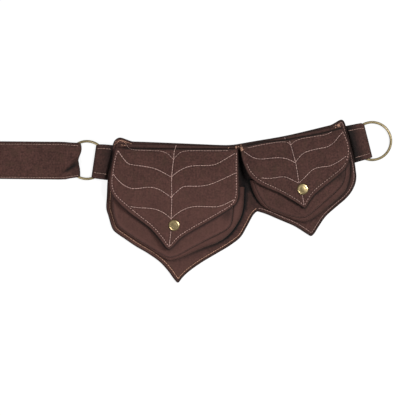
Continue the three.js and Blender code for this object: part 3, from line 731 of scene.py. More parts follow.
def spread(edge, step, rows):
    """Triangles over an outline: rows that follow its edge or given lines, then an even spread."""
    inward = leftward(runs_round(edge))
    if polygon_area(edge) < 0:
        inward = -inward
    kept = [edge]
    for share in EDGE_ROWS:
        row = edge + inward * share * step
        depth = nearest(row, edge, True)[0]
        kept.append(row[(depth > EDGE_ROW_KEPT * share * step) & inside(row, edge)])
    for row in rows:
        within = row[inside(row, edge)]
        kept.append(within[nearest(within, edge, True)[0] > EDGE_ROWS[-1] * step * LINE_MARGIN])
    low, high = edge.min(0), edge.max(0)
    xs = np.arange(low[0], high[0], step)
    ys = np.arange(low[1], high[1], step * math.sqrt(3) / 2)
    grid = np.array([(x + (j % 2) * step / 2, y) for j, y in enumerate(ys) for x in xs])
    grid = grid[inside(grid, edge)]
    grid = grid[nearest(grid, edge, True)[0] > (EDGE_ROWS[-1] + GRID_MARGIN) * step]
    for row in rows:
        grid = grid[nearest(grid, row)[0] > LINE_CLEARANCE * step]
    scale = 1 / MM
    flat = [Vector((x * scale, y * scale)) for x, y in np.vstack([*kept, grid])]
    done = delaunay_2d_cdt(flat, [], [list(range(len(edge)))], 1, MERGED)
    spots = np.array([(v.x, v.y) for v in done[0]]) / scale
    return spots, np.array(done[2])


def slab(name, edge, step, heights, turn, rows):
    """A closed cloth piece over an outline. heights gives, for points and their depth from the edge,
    the upper face, the underside and the marks."""
    spots, triangles = spread(edge, step, rows)
    a, b, c = (spots[triangles[:, i]] for i in range(3))
    wrong = np.cross(b - a, c - a) < 0
    triangles[wrong] = triangles[wrong][:, ::-1]
    depth = nearest(spots, edge, True)[0]
    over, under, marks = heights(spots, depth)
    rim = depth < ON_EDGE
    over[rim] = under[rim] = (over[rim] + under[rim]) / 2
    count = len(spots)
    below = np.where(rim, np.arange(count), count + np.cumsum(~rim) - 1)
    points = np.vstack([np.column_stack([spots, over]), np.column_stack([spots, under])[~rim]])
    faces = np.vstack([triangles, below[triangles][:, ::-1]])
    angle = math.radians(turn)
    grain = spots @ np.array([[math.cos(angle), -math.sin(angle)], [math.sin(angle), math.cos(angle)]])
    marks["cloth"] = np.column_stack([grain, np.zeros(count)])
    marks = {key: np.concatenate([value, value[~rim]]) for key, value in marks.items()}
    return add_mesh(name, points, faces, canvas_finish(), marks)


def round_edge(depth, radius):
    """Share of the full thickness at a depth from a rolled edge."""
    inner = np.clip(1 - depth / radius, 0, 1)
    return np.sqrt(np.clip(1 - inner**2, 0, 1))


def roll_edge(over, under, middle, depth, radius):
    """The two faces of a piece, brought together at its rolled edge."""
    share = round_edge(depth, radius)
    return middle + (over - middle) * share, middle + (under - middle) * share


def sewn(points, rows, width):
    """Pull of stitch rows on the cloth: depth of the groove, distance to it and the puckers beside it."""
    distance = np.full(len(points), FAR)
    along = np.zeros(len(points))
    for row in rows:
        gap, run, _ = nearest(points, row)
        closer = gap < distance
        distance[closer] = gap[closer]
        along[closer] = run[closer]
    pucker = np.sin(2 * math.pi * along / sizes().stitch_pitch) * bell(distance, PUCKER_REACH * width)
    return bell(distance, width), distance, pucker


def lathe(profile, middle, steps):
    """Points and faces of a turned piece: pairs of radius and height that start and end on the axis."""
    x, y = middle
    points = [(x, y, profile[0][1])]
    faces = []
    angles = np.linspace(0, 2 * math.pi, steps, endpoint=False)
    for radius, height in profile[1:-1]:
        for angle in angles:
            points.append((x + radius * math.cos(angle), y + radius * math.sin(angle), height))
    points.append((x, y, profile[-1][1]))
    last = len(points) - 1
    top = 1 + (len(profile) - 3) * steps
    for i in range(steps):
        j = (i + 1) % steps
        faces.append((0, 1 + j, 1 + i))
        for low in range(1, top, steps):
            faces.append((low + i, low + j, low + steps + j, low + steps + i))
        faces.append((top + i, top + j, last))
    return points, faces


# Finishes


class Value:
    """A socket of a finish; sums on it add their nodes."""

    def __init__(self, finish, socket):
        self.finish = finish
        self.socket = socket

    def sum(self, operation, *others):
        inputs = dict(enumerate((self, *others)))
        return self.finish.node("ShaderNodeMath", {"operation": operation}, inputs)

    def __add__(self, other):
        return self.sum("ADD", other)

    def __sub__(self, other):
        return self.sum("SUBTRACT", other)

    def __mul__(self, other):
        return self.sum("MULTIPLY", other)

    def __rsub__(self, other):
        return self.finish.node("ShaderNodeMath", {"operation": "SUBTRACT"}, {0: other, 1: self})

    __radd__ = __add__
    __rmul__ = __mul__

    def sine(self):
        return self.sum("SINE")

    def clamp(self):
        return self.finish.node("ShaderNodeClamp", {}, {0: self})


class Finish:
    """One material, built node by node."""

    def __init__(self, name):
        self.material = bpy.data.materials.new(name)
        self.material.use_nodes = True
        self.tree = self.material.node_tree
        self.tree.nodes.clear()

    def node(self, kind, settings, inputs, output=0):
        made = self.tree.nodes.new(kind)
        for key, value in settings.items():
            setattr(made, key, value)
        for key, value in inputs.items():
            if isinstance(value, Value):
                self.tree.links.new(value.socket, made.inputs[key])
            else:
                made.inputs[key].default_value = value
        return Value(self, made.outputs[output]) if made.outputs else None

    def mark(self, name, output="Fac"):
        return self.node("ShaderNodeAttribute", {"attribute_name": name}, {}, output)

    def mix(self, share, first, second):
        settings = {"data_type": "RGBA", "blend_type": "MIX"}
        return self.node("ShaderNodeMix", settings, {0: share, 6: first, 7: second}, 2)

    def noise(self, place, scale, detail=2.0):
        inputs = {"Vector": place, "Scale": scale, "Detail": detail}
        return self.node("ShaderNodeTexNoise", {}, inputs, "Fac")

    def stretch(self, place, scale):
        return self.node("ShaderNodeVectorMath", {"operation": "MULTIPLY"}, {0: place, 1: scale})

    def bump(self, height, strength, distance):
        inputs = {"Strength": strength, "Distance": distance, "Height": height}
        return self.node("ShaderNodeBump", {}, inputs)

    def surface(self, inputs):
        shader = self.node("ShaderNodeBsdfPrincipled", {}, inputs)
        self.node("ShaderNodeOutputMaterial", {}, {"Surface": shader})
        return self.material


# Waves per metre of the canvas, where three numbers run across and along the yarns
YARN = 0.62 * MM  # pitch of the canvas yarns
WARP_WAVES = (1500.0, 60.0, 0.0)
WEFT_WAVES = (60.0, 1500.0, 0.0)
STREAK_WAVES = (300.0, 34.0, 0.0)
PATCH_WAVES = 34.0
MOTTLE_WAVES = 150.0
GRAIN_WAVES = 430.0
DYE_WAVES = 110.0
DYE_STRETCH = (1.0, 0.6, 0.0)
# How much of each shows in the fading, and the mean fading
FADING = {
    "patches": 0.8, "mottle": 0.8, "grain": 2.2, "streaks": 0.55, "slub": 0.7, "weave": 0.12, "mean": 0.47,
}
DYE_CONTRAST = 2.4
# Strength of the painted shade in creases, grooves, seams and edges
CREASE_SHADE_DARKNESS = 0.75

THREAD_LIGHT = 1.18  # of the thread's colour, as painted highlight on the strands
THREAD_DARK = 0.55  # of the thread's colour, as painted shade between them

METAL_PATCHES = 160.0  # waves per metre
METAL_SCRATCHES = (400.0, 2600.0, 900.0)
METAL_DULL = 0.62  # of the metal's colour, where it is tarnished


def shaded(tone, share):
    return tuple(min(1.0, share * c) for c in tone[:3]) + (1.0,)


def canvas_finish():
    """Brown canvas: plain weave, uneven dye, painted shade in its creases, grooves and gaps, and worn edges with
    painted light.
    """
    name = "brown_canvas"
    if name in bpy.data.materials:
        return bpy.data.materials[name]
    finish = Finish(name)
    tones = colours()
    cloth = finish.mark("cloth", "Vector")
    fold = finish.mark("crease")
    wear = finish.mark("wear")
    gloom = finish.mark("gloom")
    across, along = (finish.node("ShaderNodeSeparateXYZ", {}, {0: cloth}, axis) for axis in ("X", "Y"))
    turn = math.pi / YARN
    weave = (across * turn).sine() * (along * turn).sine()
    warp = finish.noise(finish.stretch(cloth, WARP_WAVES), 1.0)
    weft = finish.noise(finish.stretch(cloth, WEFT_WAVES), 1.0)
    slub = warp + weft - 1
    streaks = finish.noise(finish.stretch(cloth, STREAK_WAVES), 1.0)
    patches = finish.noise(cloth, PATCH_WAVES, 3.0)
    mottle = finish.noise(cloth, MOTTLE_WAVES, 3.0)
    grain = finish.noise(cloth, GRAIN_WAVES, 2.0)
    uneven = (patches - 0.5) * FADING["patches"] + (mottle - 0.5) * FADING["mottle"]
    uneven = uneven + (grain - 0.5) * FADING["grain"] + (streaks - 0.5) * FADING["streaks"]
    fade = (uneven + slub * FADING["slub"] + weave * FADING["weave"] + FADING["mean"]).clamp()
    tone = finish.mix(fade, tuple(tones.canvas), tuple(tones.canvas_faded))
    dye = finish.noise(finish.stretch(cloth, DYE_STRETCH), DYE_WAVES, 3.0)
    tone = finish.mix(((dye - 0.5) * DYE_CONTRAST).clamp(), tone, tuple(tones.canvas_olive))
    # Real wear on the edges, and painted light: lighter gusset walls, a painted highlight inside each pouch's seam and
    # flaps lighter downwards, with lighter patches on the panel and pouch fronts.
    tone = finish.mix((wear * (0.35 + mottle * 0.6)).clamp(), tone, tuple(tones.canvas_faded))
    # Painted shade in stitch grooves, folds, seams, at the gussets' feet and along the cut edges.
    tone = finish.mix((fold * CREASE_SHADE_DARKNESS).clamp(), tone, tuple(tones.canvas_crease_shade))
    # Painted shade and shadow: in the gaps, at the pouches' feet, under the flaps' edges and folds and on the tabs
    # near the panel, with the darkness of whole pieces.
    tone = finish.mix(gloom.clamp(), tone, tuple(tones.canvas_shadow))
    height = weave * 0.5 + slub * 0.6 + mottle * 0.5
    return finish.surface(
        {
            "Base Color": tone,
            "Roughness": (0.86 + slub * 0.1 - wear * 0.06).clamp(),
            "Normal": finish.bump(height, 0.55, 0.25 * MM),
            "Specular IOR Level": 0.08,
            "Sheen Weight": 0.05,
            "Sheen Roughness": 0.5,
            "Sheen Tint": (0.55, 0.36, 0.30, 1.0),
        }
    )


def thread_finish(name, tone):
    """Twisted sewing thread, each stitch a little lighter or darker, with painted highlight on its strands and painted
    shade between them.
    """
    finish = Finish(name)
    twist = finish.mark("twist")
    shade = finish.mark("shade")
    # Painted highlight on the strands and painted shade between them.
    strands = (twist * (2 * math.pi)).sine()
    share = (0.5 + strands * 0.25 + (shade - 0.5) * 0.7).clamp()
    return finish.surface(
        {
            "Base Color": finish.mix(share, shaded(tone, THREAD_DARK), shaded(tone, THREAD_LIGHT)),
            "Roughness": (0.62 + strands * 0.1).clamp(),
            "Normal": finish.bump(strands, 0.5, 0.08 * MM),
            "Specular IOR Level": 0.2,
        }
    )


def metal_finish(name, tone, roughness, metallic):
    """Plated brass: fine scratches, dull patches and a darker tarnish."""
    if name in bpy.data.materials:
        return bpy.data.materials[name]
    finish = Finish(name)
    place = finish.node("ShaderNodeTexCoord", {}, {}, "Object")
    patches = finish.noise(place, METAL_PATCHES, 4.0)
    scratches = finish.noise(finish.stretch(place, METAL_SCRATCHES), 1.0, 3.0)
    polish = ((patches - 0.42) * 2.2).clamp()
    return finish.surface(
        {
            "Base Color": finish.mix(polish, shaded(tone, METAL_DULL), tuple(tone)),
            "Metallic": metallic,
            "Roughness": (roughness + (patches - 0.5) * 0.2 + (scratches - 0.5) * 0.16).clamp(),
            "Normal": finish.bump(scratches, 0.12, 0.05 * MM),
        }
    )


# Panel


PANEL_STEP = 1.2  # in cloth steps
PANEL_HEM = 1.1 * MM  # roll of the hem outside the pattern's outline
PANEL_WAVES = [(1, 26, 0.35, 3.1), (1, 9, 0.12, 8.2)]
PANEL_RELIEF = {
    "hem": 0.35 * MM, "hem_width": 2.2 * MM, "groove": 0.7 * MM, "groove_width": 1.2 * MM,
    "pucker": 0.14 * MM, "edge": 1.5 * MM,
}
ROW_KEPT = 0.97  # share of its depth that a point of a hem's stitch row keeps in a corner

# Raised top corners of the panel, in millimetres
EARS = [
    {"at": (119.8, 140.6), "rise": 1.8, "reach": 4.5},
    {"at": (339.3, 123.6), "rise": 1.8, "reach": 5.0},
]

# Room below the panel for the ends of the tabs
TONGUE_ROOM = {"height": 1.75 * MM, "past_tail": 3 * MM, "half_width": 30 * MM, "slope": 2 * MM}

# Painted shadow in the gap between the pouches: lines down from the flaps, darkness, reach in millimetres and
# sharpness
GAP_LINE = [(240.8, 157), (241.8, 165), (243.5, 176), (246.5, 187)]
GAP_TAIL = [(246.3, 188), (246.3, 198), (245, 209)]
GAP_FOOT = [(247.5, 189), (251, 200), (257, 208)]
PANEL_SHADES = [
    (GAP_LINE, 0.9, 10.5, 4), (GAP_LINE, 0.5, 17, 2), (GAP_TAIL, 0.85, 3.6, 2), (GAP_TAIL, 0.25, 13, 2),
    (GAP_FOOT, 0.45, 9, 2),
]
RIGHT_LOBE_SHADE = 0.12

# Painted shade on the panel at the pouches' feet: darkness and reach, from a little way off the foot
CREVICE_START = 1.5 * MM
CREVICES = [(1, 2.0 * MM), (0.42, 5.5 * MM)]

LIGHT_SIDE = (165, 208)  # left of here the panel's hem has less painted shade and is lighter
LIGHT_REACH = 20 * MM
# Marks along the hem, each with its change on the light side: place and width of the painted shade at the
# edge, painted shade of the stitch row, strength and width of the worn line inside it, in millimetres
HEM_MARKS = {
    "edge_at": (1.0, -0.3), "edge_width": (1.4, -0.35), "groove": (0.6, -0.45), "wear": (0.4, 0.4),
    "wear_width": (1.5, 1.5),
}
# Darkness of the painted shade at the hem's edge
HEM_DARKNESS = 0.97
HEM_WEAR_AT = 4.0 * MM
# A lighter patch on the panel's lower left lobe: middle, reach and strength
LIGHTER_LOBE = {"at": (172, 262), "reach": (75 * MM, 32 * MM), "wear": 0.75}
LINE_STEP = 2 * MM  # steps of the lines that shades follow


def panel_edge():
    edge = outline(PANEL_RUNS, sizes().cloth_step)
    return edge + leftward(runs_round(edge)) * PANEL_HEM


def inset(edge, distance, slip):
    """The row of an outline moved inwards, broken where the outline turns too sharply."""
    inward = -leftward(runs_round(edge))
    distance = distance + inward @ slip
    moved = edge + inward * distance[:, None]
    moved = moved[nearest(moved, edge, True)[0] > ROW_KEPT * distance]
    gaps = np.linalg.norm(np.roll(moved, -1, 0) - moved, axis=1)
    return np.roll(moved, -int(gaps.argmax()) - 1, 0)


def panel_row():
    return inset(panel_edge(), PANEL_STITCH_INSET * GRID, GRID * np.array(PANEL_STITCH_SLIP))


def strap_axes(name):
    """Middle of a strap's ring, the way the strap runs and the way to its left."""
    strap = STRAPS[name]
    angle = math.radians(strap["turn"])
    along = np.array([math.cos(angle), math.sin(angle)])
    return ring_middle(strap["ring"])[:2], along, np.array([-along[1], along[0]])


def room_for_tongues(spots):
    """How far the panel's underside is lifted over the ends of the tabs."""
    lifted = np.zeros(len(spots))
    for name, strap in STRAPS.items():
        if not strap["tongue"]:
            continue
        middle, along, across = strap_axes(name)
        run = (spots - middle) @ along
        side = np.abs((spots - middle) @ across)
        room = ramp(strap["tail"] * MM + TONGUE_ROOM["past_tail"] - run, TONGUE_ROOM["slope"])
        room *= ramp(TONGUE_ROOM["half_width"] - side, TONGUE_ROOM["slope"])
        lifted = np.maximum(lifted, TONGUE_ROOM["height"] * room)
    return lifted


def panel_painted_shade(spots):
    """Painted shade on the panel between the pouches and at the pouches' feet, and a darker right lobe."""
    gloom = RIGHT_LOBE_SHADE * (spots[:, 0] > on_frame([PANEL_NOTCH])[0, 0])
    for line, darkness, reach, power in PANEL_SHADES:
        gap = nearest(spots, smooth(on_frame(line), LINE_STEP))[0]
        gloom = np.maximum(gloom, darkness * bell(gap, reach * MM, power))
    for leaf in LEAVES.values():
        gap, along, _ = nearest(spots, smooth(on_frame(leaf["base_line"]), LINE_STEP))
        gap = np.maximum(gap - CREVICE_START, 0)
        crevice = table(leaf["crevice"], along / along.max())
        for darkness, reach in CREVICES:
            gloom = np.maximum(gloom, darkness * crevice * bell(gap, reach))
    return gloom


def make_panel():
    edge = panel_edge()
    rows = [panel_row()]
    thick = sizes().panel_thickness
    relief = PANEL_RELIEF
    light_side = on_frame([LIGHT_SIDE])[0, 0]

    def heights(spots, depth):
        groove, _, pucker = sewn(spots, rows, relief["groove_width"])
        over = thick + waves(spots, PANEL_WAVES) + relief["hem"] * bell(depth, relief["hem_width"])
        over += relief["pucker"] * pucker - relief["groove"] * groove
        for ear in EARS:
            over += ear["rise"] * MM * bell(gap_to(spots, ear["at"]), ear["reach"] * MM)
        under = room_for_tongues(spots)
        over, under = roll_edge(over, under, 0.5 * (thick + under), depth, relief["edge"])
        light = ramp(light_side - spots[:, 0], LIGHT_REACH)
        hem = {key: plain + change * light for key, (plain, change) in HEM_MARKS.items()}
        # Painted shade along the hem's edge and in the stitch row's groove.
        dark_edge = bell(depth - hem["edge_at"] * MM, hem["edge_width"] * MM)
        crease = np.clip(hem["groove"] * groove + HEM_DARKNESS * dark_edge, 0, 1)
        hem_wear = hem["wear"] * bell(depth - HEM_WEAR_AT, hem["wear_width"] * MM)
        offset = (spots - on_frame([LIGHTER_LOBE["at"]])) / LIGHTER_LOBE["reach"]
        wear = np.clip(hem_wear + LIGHTER_LOBE["wear"] * np.exp(-(offset**2).sum(1)), 0, 1)
        return over, under, {"crease": crease, "wear": wear, "gloom": panel_painted_shade(spots)}

    piece = slab("panel_cloth", edge, sizes().cloth_step * PANEL_STEP, heights, 0.0, rows)
    stand_for(piece, "panel", "belt", "canvas")
    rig.sheet(piece, held="laid", **cut_size(edge))


# Pouches


GUSSET_LEVELS = 13
GUSSET_STRIP = 12 * MM  # cut width of the strip
GUSSET_SEAT = 0.1 * MM  # from the panel to the strip's foot
GUSSET_TOP = 0.6  # how far the strip stands over the rim, in millimetres
GUSSET_WRINKLES = (6 * MM, 0.15 * MM, 0.07)  # size, least height, more height as a share of the width
GUSSET_SEAM = (0.8, 12)  # painted shade along its top edge: darkness, sharpness
GUSSET_PAINTED_LIGHT = (0.75, 0.65)  # painted light on the gusset's wall: least, more with the lightening of its pouch
GUSSET_SEAM_LIGHT = (1.15, 0.35)  # share of that painted light, less where the seam is dark
RIM_FOLLOW = (0.85, 0.15)  # shares of the closest and of an even place on the rim
SEAM_DEPTH = 1.1 * MM  # from a pouch front's edge to its seam stitches
SEAM_KEPT = 0.96  # share of that depth that a point of the seam keeps in a corner
FLAP_SHADE_REACH = 2.3 * MM

# Pouch front: distance from the seam and height over the rim, in millimetres
FRONT_PROFILE = [
    (0, 0.75), (0.5, 0.85), (1, 1.15), (1.6, 1.5), (2.4, 1.72), (3.6, 1.78), (6, 1.75), (9, 1.8), (14, 1.95),
    (30, 2.25), (200, 2.4),
]
FRONT_RELIEF = {
    "groove_width": 0.9 * MM, "sink_reach": 17 * MM, "pucker": 0.22 * MM, "edge": 0.7 * MM,
    "sag_start": 5 * MM, "sag_reach": 8 * MM,
}
# Marks of a pouch front: a painted highlight inside its seam, the most lightening, the width of the painted shade on
# the seam line, and a patch of painted shadow under the flap's corner.
FRONT_MARKS = {
    "ridge": 0.6, "ridge_at": 3.2 * MM, "ridge_width": 1.6 * MM, "most_wear": 1.5, "seam_width": 1.1 * MM,
    "corner": 0.55, "corner_reach": 9.5 * MM,
}


def gusset_lines(side):
    """The foot of a pouch and, for each of its points, a place on the rim close by and its share."""
    leaf = LEAVES[side]
    base = smooth(on_frame(leaf["base_line"]), sizes().cloth_step)
    line = smooth(on_frame(leaf["rim_line"]), 0.5 * MM)
    places = lengths_along(line)
    closest = nearest(base, line)[1]
    spread_out = np.linspace(0, places[-1], len(base))
    run = np.maximum.accumulate(RIM_FOLLOW[0] * closest + RIM_FOLLOW[1] * spread_out)
    return base, on_line(line, places, run), run / places[-1]


def under_flap(spots, side):
    """Painted shadow on the pouch below its flap and close to the flap's edge."""
    leaf = LEAVES[side]
    flap = outline(leaf["flap"], sizes().cloth_step)
    gap = np.where(inside(spots, flap), 0, nearest(spots, flap, True)[0])
    rows = np.array(leaf["shade"], float)
    places = on_frame([(place, 0) for place in rows[:, 0]])[:, 0]
    return np.interp(spots[:, 0], places, rows[:, 1]) * bell(gap, FLAP_SHADE_REACH)


def make_gusset(side):
    leaf = LEAVES[side]
    base, rim, share = gusset_lines(side)
    count = len(base)
    reach = base - rim
    width = np.linalg.norm(reach, axis=1)
    outward = reach / width[:, None]
    low = sizes().panel_thickness + GUSSET_SEAT
    tall = (leaf["rim"] + GUSSET_TOP - table(leaf["drop"], share)) * MM - low
    along = lengths_along(base)
    size, least, more = GUSSET_WRINKLES
    wrinkle = ripple(np.column_stack([along, np.zeros(count)]), size, leaf["turn"])
    shells = []
    for wall in (0.0, sizes().cloth_thickness):
        for level in range(GUSSET_LEVELS):
            angle = 0.5 * math.pi * level / (GUSSET_LEVELS - 1)
            flat, rise = math.cos(angle), math.sin(angle)
            normal = np.array([flat / width, rise / tall])
            normal /= np.linalg.norm(normal, axis=0)
            shift = math.sin(2 * angle) * (least + more * width) * wrinkle - wall
            spot = rim + reach * flat + outward * (shift * normal[0])[:, None]
            shells.append(np.column_stack([spot, low + tall * rise + shift * normal[1]]))
    points = np.vstack(shells)
    faces = []
    top, end = GUSSET_LEVELS - 1, count - 1

    def at(wall, level, i):
        return (wall * GUSSET_LEVELS + level) * count + i

    for i in range(end):
        for level in range(top):
            for wall, a, b in ((0, i, i + 1), (1, i + 1, i)):
                lower, higher = (wall, level), (wall, level + 1)
                faces.append((at(*lower, a), at(*lower, b), at(*higher, b), at(*higher, a)))
        faces.append((at(0, 0, i + 1), at(0, 0, i), at(1, 0, i), at(1, 0, i + 1)))
        faces.append((at(0, top, i), at(0, top, i + 1), at(1, top, i + 1), at(1, top, i)))
    for level in range(top):
        faces.append((at(0, level, 0), at(0, level + 1, 0), at(1, level + 1, 0), at(1, level, 0)))
        faces.append((at(0, level + 1, end), at(0, level, end), at(1, level, end), at(1, level + 1, end)))
    copies = 2 * GUSSET_LEVELS
    levels = np.repeat(np.tile(np.arange(GUSSET_LEVELS), 2), count) / top
    seam = np.tile(table(leaf["seam"], share), copies)
    foot = np.tile(table(leaf["crevice"], along / along[-1]), copies)
    darkness, power = GUSSET_SEAM
    # Painted shade at the gusset's foot and along its seam.
    crease = foot * (1 - levels) ** leaf["pinch"] + darkness * seam * levels**power
    # Painted light: the gusset's wall is made lighter, less so where its seam is dark.
    wear = GUSSET_PAINTED_LIGHT[0] + GUSSET_PAINTED_LIGHT[1] * leaf["rub"]
    marks = {
        "crease": np.clip(crease, 0, 1),
        "wear": wear * (GUSSET_SEAM_LIGHT[0] - GUSSET_SEAM_LIGHT[1] * seam),
        "gloom": np.maximum(under_flap(points[:, :2], side), leaf["tone"]),
        "cloth": np.column_stack([np.tile(along, copies), levels * tall.max(), np.zeros(len(points))]),
    }
    piece = add_mesh(f"{side}_gusset_cloth", points, faces, canvas_finish(), marks)
    stand_for(piece, f"{side}_gusset", "belt", "canvas")
    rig.sheet(piece, flat=(float(along[-1]), GUSSET_STRIP), held="stretched", rests_on=["panel"])


def front_seam(side):
    return smooth(on_frame(LEAVES[side]["rim_line"]), sizes().cloth_step)


def front_row(side):
    """The stitch row inside a pouch front's seam."""
    line = front_seam(side)
    moved = line + leftward(unit(np.gradient(line, axis=0))) * SEAM_DEPTH
    return moved[nearest(moved, line)[0] > SEAM_KEPT * SEAM_DEPTH]


def make_front(side):
    leaf = LEAVES[side]
    line = front_seam(side)
    mouth = even(np.array([line[-1], line[0]]), sizes().cloth_step)
    edge = np.vstack([line, mouth[1:-1]])
    rows = [front_row(side)]
    relief, tones = FRONT_RELIEF, FRONT_MARKS
    sags = [(1, 22, 0.4, 1.7 + leaf["turn"]), (1, 7, 0.16, 5.5), (0.25, 5, 0.16, 9.1)]

    def heights(spots, depth):
        seam, along, _ = nearest(spots, line)
        share = along / along.max()
        pucker = sewn(spots, rows, relief["groove_width"])[2]
        sunk = table(leaf["drop"], share) * bell(seam, relief["sink_reach"])
        over = leaf["rim"] * MM + MM * (table(FRONT_PROFILE, seam / MM) - sunk)
        over += relief["pucker"] * pucker
        over += waves(spots, sags) * ramp(seam - relief["sag_start"], relief["sag_reach"])
        under = over - sizes().cloth_thickness
        over, under = roll_edge(over, under, (over + under) / 2, depth, relief["edge"])
        # Painted highlight on the front just inside its seam.
        ridge = bell(seam - tones["ridge_at"], tones["ridge_width"])
        gloom = np.maximum(under_flap(spots, side), leaf["tone"])
        # Painted shadow in a patch by the flap's corner.
        shade_patch = bell(gap_to(spots, leaf["corner"]), tones["corner_reach"])
        marks = {
            # Painted shade along the front's seam.
            "crease": table(leaf["seam"], share) * bell(seam, tones["seam_width"]),
            "wear": np.clip(tones["ridge"] * ridge + leaf["rub"], 0, tones["most_wear"]),
            "gloom": np.maximum(gloom, tones["corner"] * shade_patch),
        }
        return over, under, marks

    piece = slab(f"{side}_pocket_cloth", edge, sizes().cloth_step, heights, leaf["turn"], rows)
    stand_for(piece, f"{side}_pocket_front", "belt", "canvas")
    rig.sheet(piece, held="stretched", rests_on=[f"{side}_gusset"], **cut_size(edge))


# Flaps


FOLD_ROWS = (-1.6, -0.9, -0.45, -0.15, 0.12, 0.4, 0.75, 1.2, 1.8, 2.6)  # millimetres from a flap's fold
FOLD_END = 2 * MM  # from the fold's dark crease to the flap's right end
FLAP_ROW_STEP = 0.6 * MM
FLAP_RELIEF = {
    "groove_width": 1.0 * MM, "under_groove": 0.15 * MM, "pucker": 0.12 * MM, "puff_reach": 3.6 * MM,
    "droop": 1.0 * MM, "droop_reach": 4 * MM, "edge": 1.1 * MM,
}
# Stretches below the fold: where the leaf's body starts, where its edge stops drooping, and where the
# painted shade on its upper part ends and the painted light on its lower part starts, each with the length of the
# change
BODY_START = (1.5 * MM, 5 * MM)
DROOP_END = (60 * MM, 20 * MM)
TOP_END = (34 * MM, 20 * MM)
DOWNWARD_LIGHT_START = (22 * MM, 50 * MM)
FLAP_PUFF = (0.35, 0.65)  # share of the puff at the fold, and more on the body
# Painted shade on a flap: in its stitch grooves, under its rolled top edge, on the band above it and along its cut
# edge
FLAP_CREASE = {
    "groove": 0.6, "fold": 0.75, "band": 0.25, "band_width": 1.0 * MM, "edge": 0.8, "edge_width": 1.0 * MM,
}
# Painted shade under the rolled top edge: place, width, fade at its ends, least and more, and how much darker still
FOLD_SHADE = {"at": -0.2 * MM, "width": 1.1 * MM, "ends": 6 * MM, "least": 0.2, "more": 0.8, "gloom": 0.55}
EDGE_WEAR = (0.5, 1.7 * MM, 0.8 * MM)  # amount, distance from the edge, width
FOLD_WEAR = (0.25, 2.2 * MM, 1.2 * MM)  # amount, distance below the fold, width
TOP_SHADE = 0.1  # painted shade at the top of a flap that gets lighter downwards


def make_flap(side):
    leaf = LEAVES[side]
    step = sizes().cloth_step
    edge = outline(leaf["flap"], step)
    rows = [smooth(on_frame(row), FLAP_ROW_STEP) for row in VEINS[side] + TOP_VEINS[side] + BORDERS[side]]
    fold = smooth(on_frame(leaf["fold"]), step)
    lift = leaf["lift"]
    lift_line = smooth(on_frame(lift["line"]), LINE_STEP)
    downward = -leftward(unit(np.gradient(fold, axis=0)))
    creases = [fold + downward * share * MM for share in FOLD_ROWS]
    fold_left = edge[:, 0].min() + leaf["fold_start"] * MM
    fold_right = edge[:, 0].max() - FOLD_END
    relief, folds = FLAP_RELIEF, FLAP_CREASE
    billows = [(1, 30, 0.45, 2.3 + leaf["turn"]), (1, 10, 0.16, 6.6), (0.2, 6, 0.18, 4.4)]

    def heights(spots, depth):
        gap, _, left = nearest(spots, fold)
        below = -gap * left
        groove, distance, pucker = sewn(spots, rows, relief["groove_width"])
        body = ramp(below - BODY_START[0], BODY_START[1])
        over = MM * table(leaf["profile"], below / MM)
        under = MM * table(leaf["profile"], below / MM, 2)
        puff = 1 - np.exp(-distance / relief["puff_reach"])
        rise = lift["rise"] * MM * bell(nearest(spots, lift_line)[0], lift["reach"] * MM)
        droop = relief["droop"] * np.exp(-depth / relief["droop_reach"])
        droop = droop * ramp(DROOP_END[0] - below, DROOP_END[1]) * body
        shift = rise - droop + waves(spots, billows) * body
        over += shift + sizes().puff * puff * (FLAP_PUFF[0] + FLAP_PUFF[1] * body)
        over += relief["pucker"] * pucker - sizes().groove * groove
        under += shift - relief["under_groove"] * groove
        over, under = roll_edge(over, under, (over + under) / 2, depth, relief["edge"])
        from_ends = np.minimum(spots[:, 0] - fold_left, fold_right - spots[:, 0])
        along_fold = ramp(from_ends, FOLD_SHADE["ends"])
        shade = FOLD_SHADE["least"] + FOLD_SHADE["more"] * along_fold
        shade *= bell(below - FOLD_SHADE["at"], FOLD_SHADE["width"])
        # Painted shade in the grooves, under the fold, on the band above it and at the edge.
        crease = folds["groove"] * groove + folds["fold"] * shade
        crease += folds["band"] * ramp(-below, folds["band_width"])
        crease += folds["edge"] * bell(depth, folds["edge_width"])
        # Painted light makes the flap's lower part lighter.
        wear = leaf["sun"] * ramp(below - DOWNWARD_LIGHT_START[0], DOWNWARD_LIGHT_START[1])
        for gap, (amount, place, width) in ((depth, EDGE_WEAR), (below, FOLD_WEAR)):
            wear += amount * bell(gap - place, width)
        # Painted shade darkens the flap's top.
        top = TOP_SHADE * leaf["sun"] * ramp(TOP_END[0] - below, TOP_END[1])
        gloom = np.clip(FOLD_SHADE["gloom"] * shade * along_fold + leaf["tone"] + top, 0, 1)
        return over, under, {"crease": np.clip(crease, 0, 1), "wear": wear, "gloom": gloom}

    piece = slab(f"{side}_flap_cloth", edge, step, heights, leaf["turn"], creases)
    stand_for(piece, f"{side}_flap", "belt", "canvas")
    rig.sheet(piece, held="folded", rests_on=[f"{side}_pocket_front", "panel"], **cut_size(edge))


# Strap and tabs, in millimetres


STRAP_LAYER = 1.2
STRAP_SLACK = 0.3  # between a strap and its ring
STRAP_STEP = 1.3
STRAP_SIDE_STEPS = 40
STRAP_EVENNESS = (0.35, 0.65)  # shares of points that crowd to the edges and of even ones
STRAP_FLOOR = 0.02  # lowest point
STRAP_WAVES = (24, 18)  # size along and across
STRAP_RELIEF = {
    "waves": 0.35, "groove": 0.4, "groove_width": 1.0, "hem": 0.3, "hem_width": 2.0, "edge": 0.55,
}
